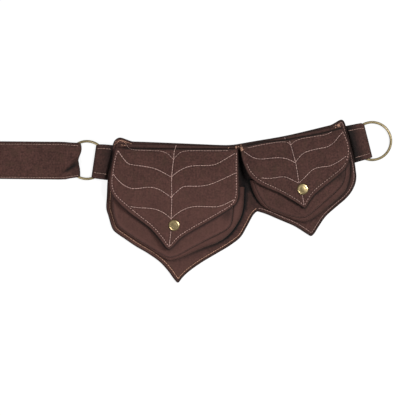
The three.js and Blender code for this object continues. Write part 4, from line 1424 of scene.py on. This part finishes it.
# Painted shade in the strap's stitch grooves, along its edges and at its fold round the ring
STRAP_CREASE = {"groove": 0.6, "edge": 0.95, "fold": 0.92, "fold_width": 1.5}
STRAP_WEAR = (0.5, 1.6, 0.8)  # amount, distance from the edge, width
STRAP_LEFT_HEM = 0.9  # width of the painted edge shade on the left
TONGUE_THINNING = (0.38, 4)  # share of the layer, and over what length
BEND_STEPS = 9
RING_CLEARANCE = 1.2  # from the ring's wire to where the upper layer starts to come down
LAYER_GAP = 0.08  # between the two layers past the landing
TONGUE = {"end": 0.75, "landing": 0.8, "past": 2, "before": 3, "gap": 0.85}  # shares of the height, places
STITCH_START = 2.2  # from the fold to the first stitch
STITCH_END = {"tongue": 1.5, "tail": 2}  # from the last stitch to the landing or the tail

# Where the strap is gathered into its ring: its tuck along the ring, a patch of painted shade and a slanting
# pleat with painted shade in it
TUCKS = [(2.6, 1, 8), (-1.9, -15, 9)]  # how far it moves, place across, reach
TUCK_LENGTH = 14
# A patch of painted shade: darkness, place and reach
STRAP_SHADE_PATCH = {"shade": 0.38, "at": (13, 13), "reach": (8, 9)}
PLEAT_START = (9.5, 3.3)
PLEAT_END = (31.5, 17.0)
PLEAT_RISE = (1.2, 1.8, 3.0)  # height of its ridge, distance in pleat widths, reach
PLEAT_DEPTH = 2.2
PLEAT_FADE = 1.1  # where it has run out, as a share of its length
PLEAT_WIDTH = (0.9, 3.6)  # least, more at the ring
PLEAT_SHADE = (2.4, 0.92)  # painted shade in the pleat: slope along the pleat, most
PLEAT_RING_LIGHT = (0.4, 0.18)  # less painted shade at the ring: share, reach along the pleat


def strap_path(strap):
    """Side view of a folded strap's middle surface: along, height, from under to over."""
    loop = (2 * (STRAP_LAYER + STRAP_SLACK) + 2 * sizes().ring_wire / MM) / 2  # half the height of the fold
    low = STRAP_LAYER / 2
    high = 2 * loop - low
    bend = loop - low
    turn = strap["fold"] + loop
    landing, tail = strap["landing"], strap["tail"]
    if strap["tongue"]:
        flat = low * TONGUE["landing"]
        points = [(tail, low * TONGUE["end"]), (landing + TONGUE["past"], flat)]
        points += [(landing - TONGUE["before"], low), (turn, low)]
        rest = flat + TONGUE["gap"]
    else:
        points = [(tail, low), (turn, low)]
        rest = low + STRAP_LAYER + LAYER_GAP
    for angle in np.linspace(0, math.pi, BEND_STEPS)[1:]:
        points.append((turn - bend * math.sin(angle), loop - bend * math.cos(angle)))
    start = sizes().ring_radius / MM + RING_CLEARANCE
    for ease in np.linspace(0, 1, BEND_STEPS):
        drop = ease * ease * (3 - 2 * ease)
        points.append((start + (landing - start) * ease, high + (rest - high) * drop))
    points.append((tail, rest))
    return np.array(points)


def pleat(along, across):
    """Rise of the slanting pleat where the strap is gathered into its ring, and the painted shade in it."""
    start = np.array(PLEAT_START)
    line = np.array(PLEAT_END) - start
    offset_a, offset_c = along - start[0], across - start[1]
    share = np.clip((offset_a * line[0] + offset_c * line[1]) / (line**2).sum(), 0, 1)
    gap = np.hypot(offset_a - share * line[0], offset_c - share * line[1])
    side = np.sign(line[0] * offset_c - line[1] * offset_a)
    fade = np.clip(PLEAT_FADE - share, 0, 1)
    width = PLEAT_WIDTH[0] + PLEAT_WIDTH[1] * fade
    height, place, reach = PLEAT_RISE
    rise = fade * (height * bell(gap * side + place * width, reach) - PLEAT_DEPTH * bell(gap, width))
    slope, most = PLEAT_SHADE
    ringward = 1 - PLEAT_RING_LIGHT[0] * bell(share, PLEAT_RING_LIGHT[1])
    return rise, ringward * np.clip(slope * fade, 0, most) * bell(gap, width)


def strap_faces(count, wide):
    """Faces of two layers of points that share their side edges, closed at both ends."""

    def at(shell, i, j):
        edge = j in (0, wide - 1)
        return (0 if edge else shell) * count * wide + i * wide + j

    faces = []
    for i in range(count - 1):
        for j in range(wide - 1):
            for shell, order in ((0, 1), (1, -1)):
                ring = [at(shell, i, j), at(shell, i, j + 1), at(shell, i + 1, j + 1), at(shell, i + 1, j)]
                faces.append(tuple(ring[::order]))
    for i, order in ((0, -1), (count - 1, 1)):
        for j in range(wide - 1):
            ring = list(dict.fromkeys([at(0, i, j), at(0, i, j + 1), at(1, i, j + 1), at(1, i, j)]))
            faces.append(tuple(ring[::order]))
    return faces


def make_strap(name):
    strap = STRAPS[name]
    path = even(strap_path(strap), STRAP_STEP)
    middle, forward, sideways = strap_axes(name)
    normal = leftward(unit(np.gradient(path, axis=0)))
    count = len(path)
    wide = 2 * STRAP_SIDE_STEPS + 1
    sides = STRAP_EVENNESS[0] * np.sin(np.linspace(-math.pi / 2, math.pi / 2, wide))
    sides = sides + STRAP_EVENNESS[1] * np.linspace(-1, 1, wide)
    left = table(strap["widths"], path[:, 0], 1)[:, None]
    right = table(strap["widths"], path[:, 0], 2)[:, None]
    across = np.where(sides[None] > 0, left * sides, right * sides)
    along = np.repeat(path[:, :1], wide, 1)
    upper = np.arange(count)[:, None] > count // 2
    thinning, thinning_length = TONGUE_THINNING
    thick = STRAP_LAYER * (1 - thinning * ramp(along - strap["landing"], thinning_length) * strap["tongue"])
    edge_gap = np.where(sides[None] > 0, left - across, right + across)
    shape = STRAP_RELIEF
    rows = (left - strap["rows"][0], strap["rows"][1] - right)
    groove = np.maximum(*[bell(across - row, shape["groove_width"]) for row in rows])
    long, broad = STRAP_WAVES
    offset = len(name) * 1.3
    places = zip(along.ravel(), across.ravel())
    swell = np.array([noise.noise(Vector((a / long, c / broad, offset))) for a, c in places])
    relief = upper * (shape["waves"] * swell.reshape(across.shape) - shape["groove"] * groove)
    relief += upper * shape["hem"] * bell(edge_gap, shape["hem_width"])
    dark_hem = np.where(across < 0, strap["hem"], STRAP_LEFT_HEM)
    folds = STRAP_CREASE
    crease = np.clip(folds["groove"] * groove + folds["edge"] * bell(edge_gap, dark_hem), 0, 1)
    crease = np.maximum(crease, folds["fold"] * bell(along - strap["fold"], folds["fold_width"]))
    # Painted shade along the strap, darker on the tabs near the panel, and in its pleat and patch.
    gloom = table(strap["shade"], along)
    if name == "strap":
        fold_rise, pleat_painted_shade = pleat(along, across)
        relief += upper * fold_rise
        shade_patch = bell(along - STRAP_SHADE_PATCH["at"][0], STRAP_SHADE_PATCH["reach"][0]) * bell(across - STRAP_SHADE_PATCH["at"][1], STRAP_SHADE_PATCH["reach"][1])
        gloom = np.maximum(gloom, upper * np.maximum(pleat_painted_shade, STRAP_SHADE_PATCH["shade"] * shade_patch))
        ringward = np.clip(1 - (along - strap["fold"]) / TUCK_LENGTH, 0, 1)
        along = along + sum(move * bell(across - place, reach) for move, place, reach in TUCKS) * ringward
    half_thick = 0.5 * thick * round_edge(edge_gap, shape["edge"])
    shells = []
    for sign in (1, -1):
        lift = sign * half_thick + relief
        place_along = along + normal[:, :1] * -lift
        place_high = np.maximum(path[:, 1:] + normal[:, 1:] * -lift, STRAP_FLOOR)
        flat = middle + MM * (place_along[..., None] * forward + across[..., None] * sideways)
        shells.append(np.concatenate([flat, MM * place_high[..., None]], axis=2))
    points = np.vstack([shell.reshape(-1, 3) for shell in shells])
    faces = strap_faces(count, wide)
    used = sorted({i for face in faces for i in face})
    index = {old: new for new, old in enumerate(used)}
    faces = [tuple(index[i] for i in face) for face in faces]
    length = lengths_along(path)
    cloth = np.stack([across, np.repeat(length[:, None], wide, 1), np.zeros_like(across)], axis=2) * MM
    amount, place, reach = STRAP_WEAR
    marks = {"crease": crease, "wear": amount * bell(edge_gap - place, reach), "gloom": gloom}
    marks = {key: np.tile(value.ravel(), 2)[used] for key, value in marks.items()}
    marks["cloth"] = np.vstack([cloth.reshape(-1, 3)] * 2)[used]
    piece = add_mesh(f"{name}_cloth", points[used], faces, canvas_finish(), marks)
    stand_for(piece, name, "belt", "canvas")
    width = float((left + right).max())
    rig.sheet(piece, flat=(width * MM, float(length[-1]) * MM), held="folded", rests_on=[strap["ring"]])


def strap_stitch_lines(name):
    strap = STRAPS[name]
    middle, forward, sideways = strap_axes(name)
    end = strap["tail"] - STITCH_END["tail"]
    if strap["tongue"]:
        end = strap["landing"] - STITCH_END["tongue"]
    runs = np.arange(strap["fold"] + STITCH_START, end, 1.0)
    lines = []
    for column, side, gap in zip((1, 2), (1, -1), strap["rows"]):
        half = table(strap["widths"], runs, column) - gap
        spots = runs[:, None] * forward + (side * half)[:, None] * sideways
        lines.append(middle + MM * spots)
    return lines


# Metal


# Snap cap: radius and height as shares, from the middle of its underside to the middle of its top
SNAP_PROFILE = [
    (0.0, 0.0), (0.9, 0.0), (0.985, 0.05), (1.0, 0.2), (0.99, 0.4), (0.96, 0.58), (0.91, 0.72), (0.84, 0.82),
    (0.76, 0.88), (0.66, 0.91), (0.6, 0.905), (0.54, 0.9), (0.46, 0.93), (0.34, 0.97), (0.18, 0.99),
    (0.0, 1.0),
]
SNAP_DOME = 2.7 * MM
SNAP_STEPS = 64
RING_STEPS = 160
WIRE_STEPS = 20
RING_JOINT = 0.52  # where the wire's ends meet, as a share of a turn
RING_PINCH = 0.12  # how much thinner the wire is there


def make_snap(side):
    middle = on_frame([LEAVES[side]["snap"]])[0]
    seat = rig.box(f"{side}_snap_cap")[1][2] - SNAP_DOME
    profile = [(r * sizes().snap_radius, seat + h * SNAP_DOME) for r, h in SNAP_PROFILE]
    points, faces = lathe(profile, middle, SNAP_STEPS)
    finish = metal_finish("snap_brass", colours().snap_brass, 0.3, 1.0)
    piece = add_mesh(f"{side}_snap_dome", points, faces, finish)
    stand_for(piece, f"{side}_snap_cap", "belt", "antique_brass")
    frame["nodes"][f"{side}_snap_stud"].data.materials.clear()
    frame["nodes"][f"{side}_snap_stud"].data.materials.append(finish)


def make_ring(name):
    x, y, z = ring_middle(name)
    points, faces = [], []
    for i in range(RING_STEPS):
        turn = 2 * math.pi * i / RING_STEPS
        joint = abs((i - RING_STEPS * RING_JOINT + RING_STEPS / 2) % RING_STEPS - RING_STEPS / 2)
        size = sizes().ring_wire * (1 - RING_PINCH * math.exp(-(joint**2)))
        k = (i + 1) % RING_STEPS
        for j in range(WIRE_STEPS):
            angle = 2 * math.pi * j / WIRE_STEPS
            out = sizes().ring_radius + size * math.cos(angle)
            points.append((x + out * math.cos(turn), y + out * math.sin(turn), z + size * math.sin(angle)))
            m = (j + 1) % WIRE_STEPS
            faces.append((i * WIRE_STEPS + j, k * WIRE_STEPS + j, k * WIRE_STEPS + m, i * WIRE_STEPS + m))
    piece = add_mesh(f"{name}_wire", points, faces, metal_finish("ring_brass", colours().brass, 0.4, 0.55))
    stand_for(piece, name, name, "brass")


# Stitching


THREAD_SIDES = 6
THREAD_STOPS = np.linspace(-1, 1, 6)
THREAD_SEAT = (0.62, 1.25, 3.5)  # height of a stitch's middle in thread radii, dip of its ends, sharpness
THREAD_TAPER = (0.3, 4)  # thinning of its ends, sharpness
THREAD_TONE = (0.5, 0.22)  # mean and spread from stitch to stitch
THREAD_TWIST = 2.4  # turns in a stitch
RAY_HEIGHT = 0.1
ROW_STEP = 0.5 * MM
STITCH_STEP = 0.2 * MM
STITCH_CHANCE = (0.04, 0.05)  # spread of a stitch's place in pitches, and of its length
TACK_LEAN = 0.25 * MM
TACK_CHANCE = 0.08
# Weights of the threads
WEIGHTS = {"vein": 0.95, "seam": 0.7, "hem": 0.88, "strap": 0.8, "tack": 0.8}
BORDER_WEIGHT = {"left": 1.3, "right": 1.15}
# Threads of the two sides
VEIN_THREAD = {"left": "tan", "right": "pale"}
BORDER_THREADS = {"left": ["warm"], "right": ["soft", "warm"]}
HEM_THREAD = {"left": "orange", "right": "soft"}


def ground_of(*names):
    """A surface to sew through, from pieces that are already in place."""
    points, faces = [], []
    for name in names:
        mesh = bpy.data.objects[name].data
        start = len(points)
        points += [v.co.copy() for v in mesh.vertices]
        faces += [[start + i for i in face.vertices] for face in mesh.polygons]
    return BVHTree.FromPolygons(points, faces)


def stitches_along(line, length, chance):
    """Starts and ends of the stitches of one row."""
    pitch = sizes().stitch_pitch
    steps = even(line, STITCH_STEP)
    along = lengths_along(steps)
    count = max(1, int(round(along[-1] / pitch)))
    pairs = []
    for i in range(count):
        middle = (i + 0.5) * along[-1] / count + chance.normal(0, STITCH_CHANCE[0]) * pitch
        half = 0.5 * length * (1 + chance.normal(0, STITCH_CHANCE[1]))
        ends = np.clip([middle - half, middle + half], 0, along[-1])
        pairs.append(on_line(steps, along, ends))
    return pairs


def tack_stitches(tack, chance):
    """Starts and ends of the threads of one bar tack."""
    middle = on_frame([tack["at"]])[0]
    angle = math.radians(-tack["turn"])
    along = np.array([math.cos(angle), math.sin(angle)])
    across = np.array([-along[1], along[0]])
    pairs = []
    for i in range(tack["threads"]):
        share = (i + 0.5) / tack["threads"] - 0.5
        spot = middle + along * share * tack["length"] * MM
        lean = along * TACK_LEAN * chance.normal(0, 1)
        half = across * 0.5 * tack["width"] * MM * (1 + chance.normal(0, TACK_CHANCE))
        pairs.append(np.array([spot - half - lean, spot + half + lean]))
    return pairs


def laid(start, end, ground, radius):
    """Middle line of one stitch on the cloth, or nothing where there is no cloth below it."""
    seat, dip, power = THREAD_SEAT
    spots = []
    for stop in THREAD_STOPS:
        x, y = start + (end - start) * (stop + 1) / 2
        hit = ground.ray_cast(Vector((x, y, RAY_HEIGHT)), Vector((0, 0, -1)))[0]
        if hit is None:
            return None
        spots.append((x, y, hit.z + radius * (seat - dip * abs(stop) ** power)))
    return np.array(spots)


def sew(name, pairs, ground, finish, weight, chance):
    """One piece of thread for many stitches, each lying on the cloth with its ends pulled in."""
    radius = weight * sizes().thread
    points, faces, twist, shade = [], [], [], []
    thinning, power = THREAD_TAPER
    for start, end in pairs:
        line = laid(start, end, ground, radius)
        if line is None:
            continue
        run = unit(np.gradient(line, axis=0))
        side = unit(np.cross(run, (0, 0, 1.0)))
        top = np.cross(side, run)
        first = len(points)
        last = first + (len(line) - 1) * THREAD_SIDES
        tone = float(np.clip(chance.normal(*THREAD_TONE), 0, 1))
        for k, spot in enumerate(line):
            size = radius * (1 - thinning * abs(THREAD_STOPS[k]) ** power)
            for m in range(THREAD_SIDES):
                angle = 2 * math.pi * m / THREAD_SIDES
                points.append(spot + size * (math.cos(angle) * side[k] + math.sin(angle) * top[k]))
                twist.append(THREAD_TWIST * k / (len(line) - 1) + m / THREAD_SIDES)
                shade.append(tone)
        for start_of_ring in range(first, last, THREAD_SIDES):
            for m in range(THREAD_SIDES):
                here = start_of_ring + m
                beside = start_of_ring + (m + 1) % THREAD_SIDES
                faces.append((here, beside, beside + THREAD_SIDES, here + THREAD_SIDES))
        faces.append(tuple(first + m for m in reversed(range(THREAD_SIDES))))
        faces.append(tuple(last + m for m in range(THREAD_SIDES)))
    if not points:
        raise RuntimeError(f"{name}: no stitch meets the cloth")
    piece = add_mesh(name, points, faces, finish, {"twist": twist, "shade": shade})
    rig.ride(piece, "belt")
    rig.slot(piece, "thread")


# Operators


FLOOR_LIT = 0.09  # share of the floor's tone that takes the lamps' light
FLOOR_GLOW = 0.9  # the rest glows, as on a light table, so the belt casts hardly a shadow
FLOOR_REACH = 4.0
FLOOR_DROP = 0.2 * MM  # from the belt down to the floor
FLOOR_GRAIN = 300.0
SKY = 0.46  # strength of the light from all round
LAMPS = [
    {"name": "key", "place": (0.92, 0.40, 1.46), "size": 0.4, "power": 50.0},
    {"name": "fill", "place": (-0.75, -0.80, 1.4), "size": 0.35, "power": 30.0},
]
CAMERA_HEIGHT = 2.6
SENSOR = 36.0
CAMERA_SIGHT = 20.0


class BELT_OT_stage(bpy.types.Operator):
    """Set up the pale floor, the soft light and the camera straight above."""

    bl_idname = "belt.stage"
    bl_label = "Stage"

    def execute(self, context):
        scene = context.scene
        self.floor()
        world = bpy.data.worlds.new("studio")
        world.use_nodes = True
        world.node_tree.nodes["Background"].inputs["Color"].default_value = (1.0, 1.0, 1.0, 1.0)
        world.node_tree.nodes["Background"].inputs["Strength"].default_value = SKY
        scene.world = world
        for lamp in LAMPS:
            self.lamp(scene, **lamp)
        data = bpy.data.cameras.new("camera")
        data.sensor_width = SENSOR
        data.lens = SENSOR * CAMERA_HEIGHT / (VIEW_UNITS * GRID)
        data.clip_end = CAMERA_SIGHT
        camera = bpy.data.objects.new("camera", data)
        camera.location = (*on_frame([VIEW_ON_GRID])[0], CAMERA_HEIGHT)
        scene.collection.objects.link(camera)
        scene.camera = camera
        scene.view_settings.view_transform = "Standard"
        scene.view_settings.look = "None"
        return {"FINISHED"}

    def floor(self):
        finish = Finish("pale_floor")
        place = finish.node("ShaderNodeTexCoord", {}, {}, "Object")
        grain = finish.noise(place, FLOOR_GRAIN)
        finish.surface(
            {
                "Base Color": shaded(colours().floor, FLOOR_LIT),
                "Roughness": (0.8 + (grain - 0.5) * 0.1).clamp(),
                "Specular IOR Level": 0.1,
                "Emission Color": tuple(colours().floor),
                "Emission Strength": FLOOR_GLOW,
            }
        )
        corners = [(FLOOR_REACH * x, FLOOR_REACH * y, 0) for x, y in ((-1, -1), (1, -1), (1, 1), (-1, 1))]
        floor = add_mesh("floor", corners, [(0, 1, 2, 3)], finish.material, flat=True)
        floor.location.z = -FLOOR_DROP
        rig.stage(floor)

    def lamp(self, scene, name, place, size, power):
        data = bpy.data.lights.new(name, "AREA")
        data.size = size
        data.energy = power
        lamp = bpy.data.objects.new(name, data)
        lamp.location = place
        lamp.rotation_euler = (-Vector(place)).to_track_quat("-Z", "Y").to_euler()
        scene.collection.objects.link(lamp)


class BELT_OT_panel(bpy.types.Operator):
    """Make the backing panel with its two leaf points and raised top corners."""

    bl_idname = "belt.panel"
    bl_label = "Panel"

    def execute(self, context):
        make_panel()
        return {"FINISHED"}


class BELT_OT_pouches(bpy.types.Operator):
    """Make the gusset and the front of each pouch."""

    bl_idname = "belt.pouches"
    bl_label = "Pouches"

    def execute(self, context):
        for side in LEAVES:
            make_gusset(side)
            make_front(side)
        return {"FINISHED"}


class BELT_OT_flaps(bpy.types.Operator):
    """Make the two quilted leaf flaps."""

    bl_idname = "belt.flaps"
    bl_label = "Flaps"

    def execute(self, context):
        for side in LEAVES:
            make_flap(side)
        return {"FINISHED"}


class BELT_OT_straps(bpy.types.Operator):
    """Make the strap end and the two tabs that hold the rings."""

    bl_idname = "belt.straps"
    bl_label = "Strap and tabs"

    def execute(self, context):
        for name in STRAPS:
            make_strap(name)
        return {"FINISHED"}


class BELT_OT_metal(bpy.types.Operator):
    """Make the rings and the snap caps."""

    bl_idname = "belt.metal"
    bl_label = "Rings and snaps"

    def execute(self, context):
        for name in ("left_ring", "right_ring"):
            make_ring(name)
        for side in LEAVES:
            make_snap(side)
        return {"FINISHED"}


class BELT_OT_stitching(bpy.types.Operator):
    """Sew the veins, borders, edges, seams and bar tacks."""

    bl_idname = "belt.stitching"
    bl_label = "Stitching"

    def execute(self, context):
        chance = np.random.default_rng(SEED)
        threads = {
            name: thread_finish(f"{name}_thread", getattr(colours(), f"thread_{name}"))
            for name in ("tan", "pale", "warm", "orange", "dull", "soft", "brown")
        }
        long, short = sizes().vein_stitch, sizes().edge_stitch

        def lines_of(rows):
            return [smooth(on_frame(row), ROW_STEP) for row in rows]

        def stitches(lines, length):
            return [pair for line in lines for pair in stitches_along(line, length, chance)]

        def stitch(name, pairs, ground, thread, weight):
            sew(name, pairs, ground, threads[thread], weight, chance)

        for side in LEAVES:
            flap = ground_of(f"{side}_flap_cloth")
            veins = stitches(lines_of(VEINS[side]), long)
            stitch(f"{side}_vein_stitches", veins, flap, VEIN_THREAD[side], WEIGHTS["vein"])
            veins = stitches(lines_of(TOP_VEINS[side]), long)
            stitch(f"{side}_top_stitches", veins, flap, "soft", WEIGHTS["vein"])
            for part, (row, thread) in enumerate(zip(BORDERS[side], BORDER_THREADS[side]), 1):
                border = stitches(lines_of([row]), short)
                stitch(f"{side}_border_stitches_{part}", border, flap, thread, BORDER_WEIGHT[side])
            seam = stitches([front_row(side)], long)
            front = ground_of(f"{side}_pocket_cloth")
            stitch(f"{side}_seam_stitches", seam, front, "brown", WEIGHTS["seam"])
        hem = stitches([panel_row()], long)
        panel = ground_of("panel_cloth")
        notch = on_frame([PANEL_NOTCH])[0, 0]
        for side, thread in HEM_THREAD.items():
            half = [pair for pair in hem if (pair[0][0] < notch) == (side == "left")]
            stitch(f"{side}_panel_stitches", half, panel, thread, WEIGHTS["hem"])
        for name in STRAPS:
            rows = stitches(strap_stitch_lines(name), long)
            stitch(f"{name}_stitches", rows, ground_of(f"{name}_cloth"), "dull", WEIGHTS["strap"])
        top = ground_of("panel_cloth", "left_flap_cloth", "right_flap_cloth")
        tacks = [pair for tack in TACKS for pair in tack_stitches(tack, chance)]
        tacks += stitches(lines_of(CORNER_LOOPS), short)
        stitch("corner_tacks", tacks, top, "orange", WEIGHTS["tack"])
        return {"FINISHED"}


OPERATORS = (
    BELT_OT_stage,
    BELT_OT_panel,
    BELT_OT_pouches,
    BELT_OT_flaps,
    BELT_OT_straps,
    BELT_OT_metal,
    BELT_OT_stitching,
)


class BELT_PT_sidebar(bpy.types.Panel):
    """Lists the steps that make the belt."""

    bl_idname = "BELT_PT_sidebar"
    bl_label = "Pocket belt"
    bl_space_type = "VIEW_3D"
    bl_region_type = "UI"
    bl_category = "Belt"

    def draw(self, context):
        for operator in OPERATORS:
            self.layout.operator(operator.bl_idname)


CLASSES = (BeltSizes, BeltColours, *OPERATORS, BELT_PT_sidebar)


def register():
    for cls in CLASSES:
        bpy.utils.register_class(cls)
    bpy.types.Scene.belt_sizes = PointerProperty(type=BeltSizes)
    bpy.types.Scene.belt_colours = PointerProperty(type=BeltColours)


def unregister():
    del bpy.types.Scene.belt_colours
    del bpy.types.Scene.belt_sizes
    for cls in reversed(CLASSES):
        bpy.utils.unregister_class(cls)


def main():
    register()
    bpy.ops.belt.stage()
    bpy.ops.belt.panel()
    bpy.ops.belt.pouches()
    bpy.ops.belt.flaps()
    bpy.ops.belt.straps()
    bpy.ops.belt.metal()
    bpy.ops.belt.stitching()
    visual_box = [list(corner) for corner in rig.bounds()]
    with open(SIZE_FILE, "w") as file:
        json.dump({"cad": CAD_BOX, "visual": visual_box}, file)


if __name__ == "__main__":
    main()
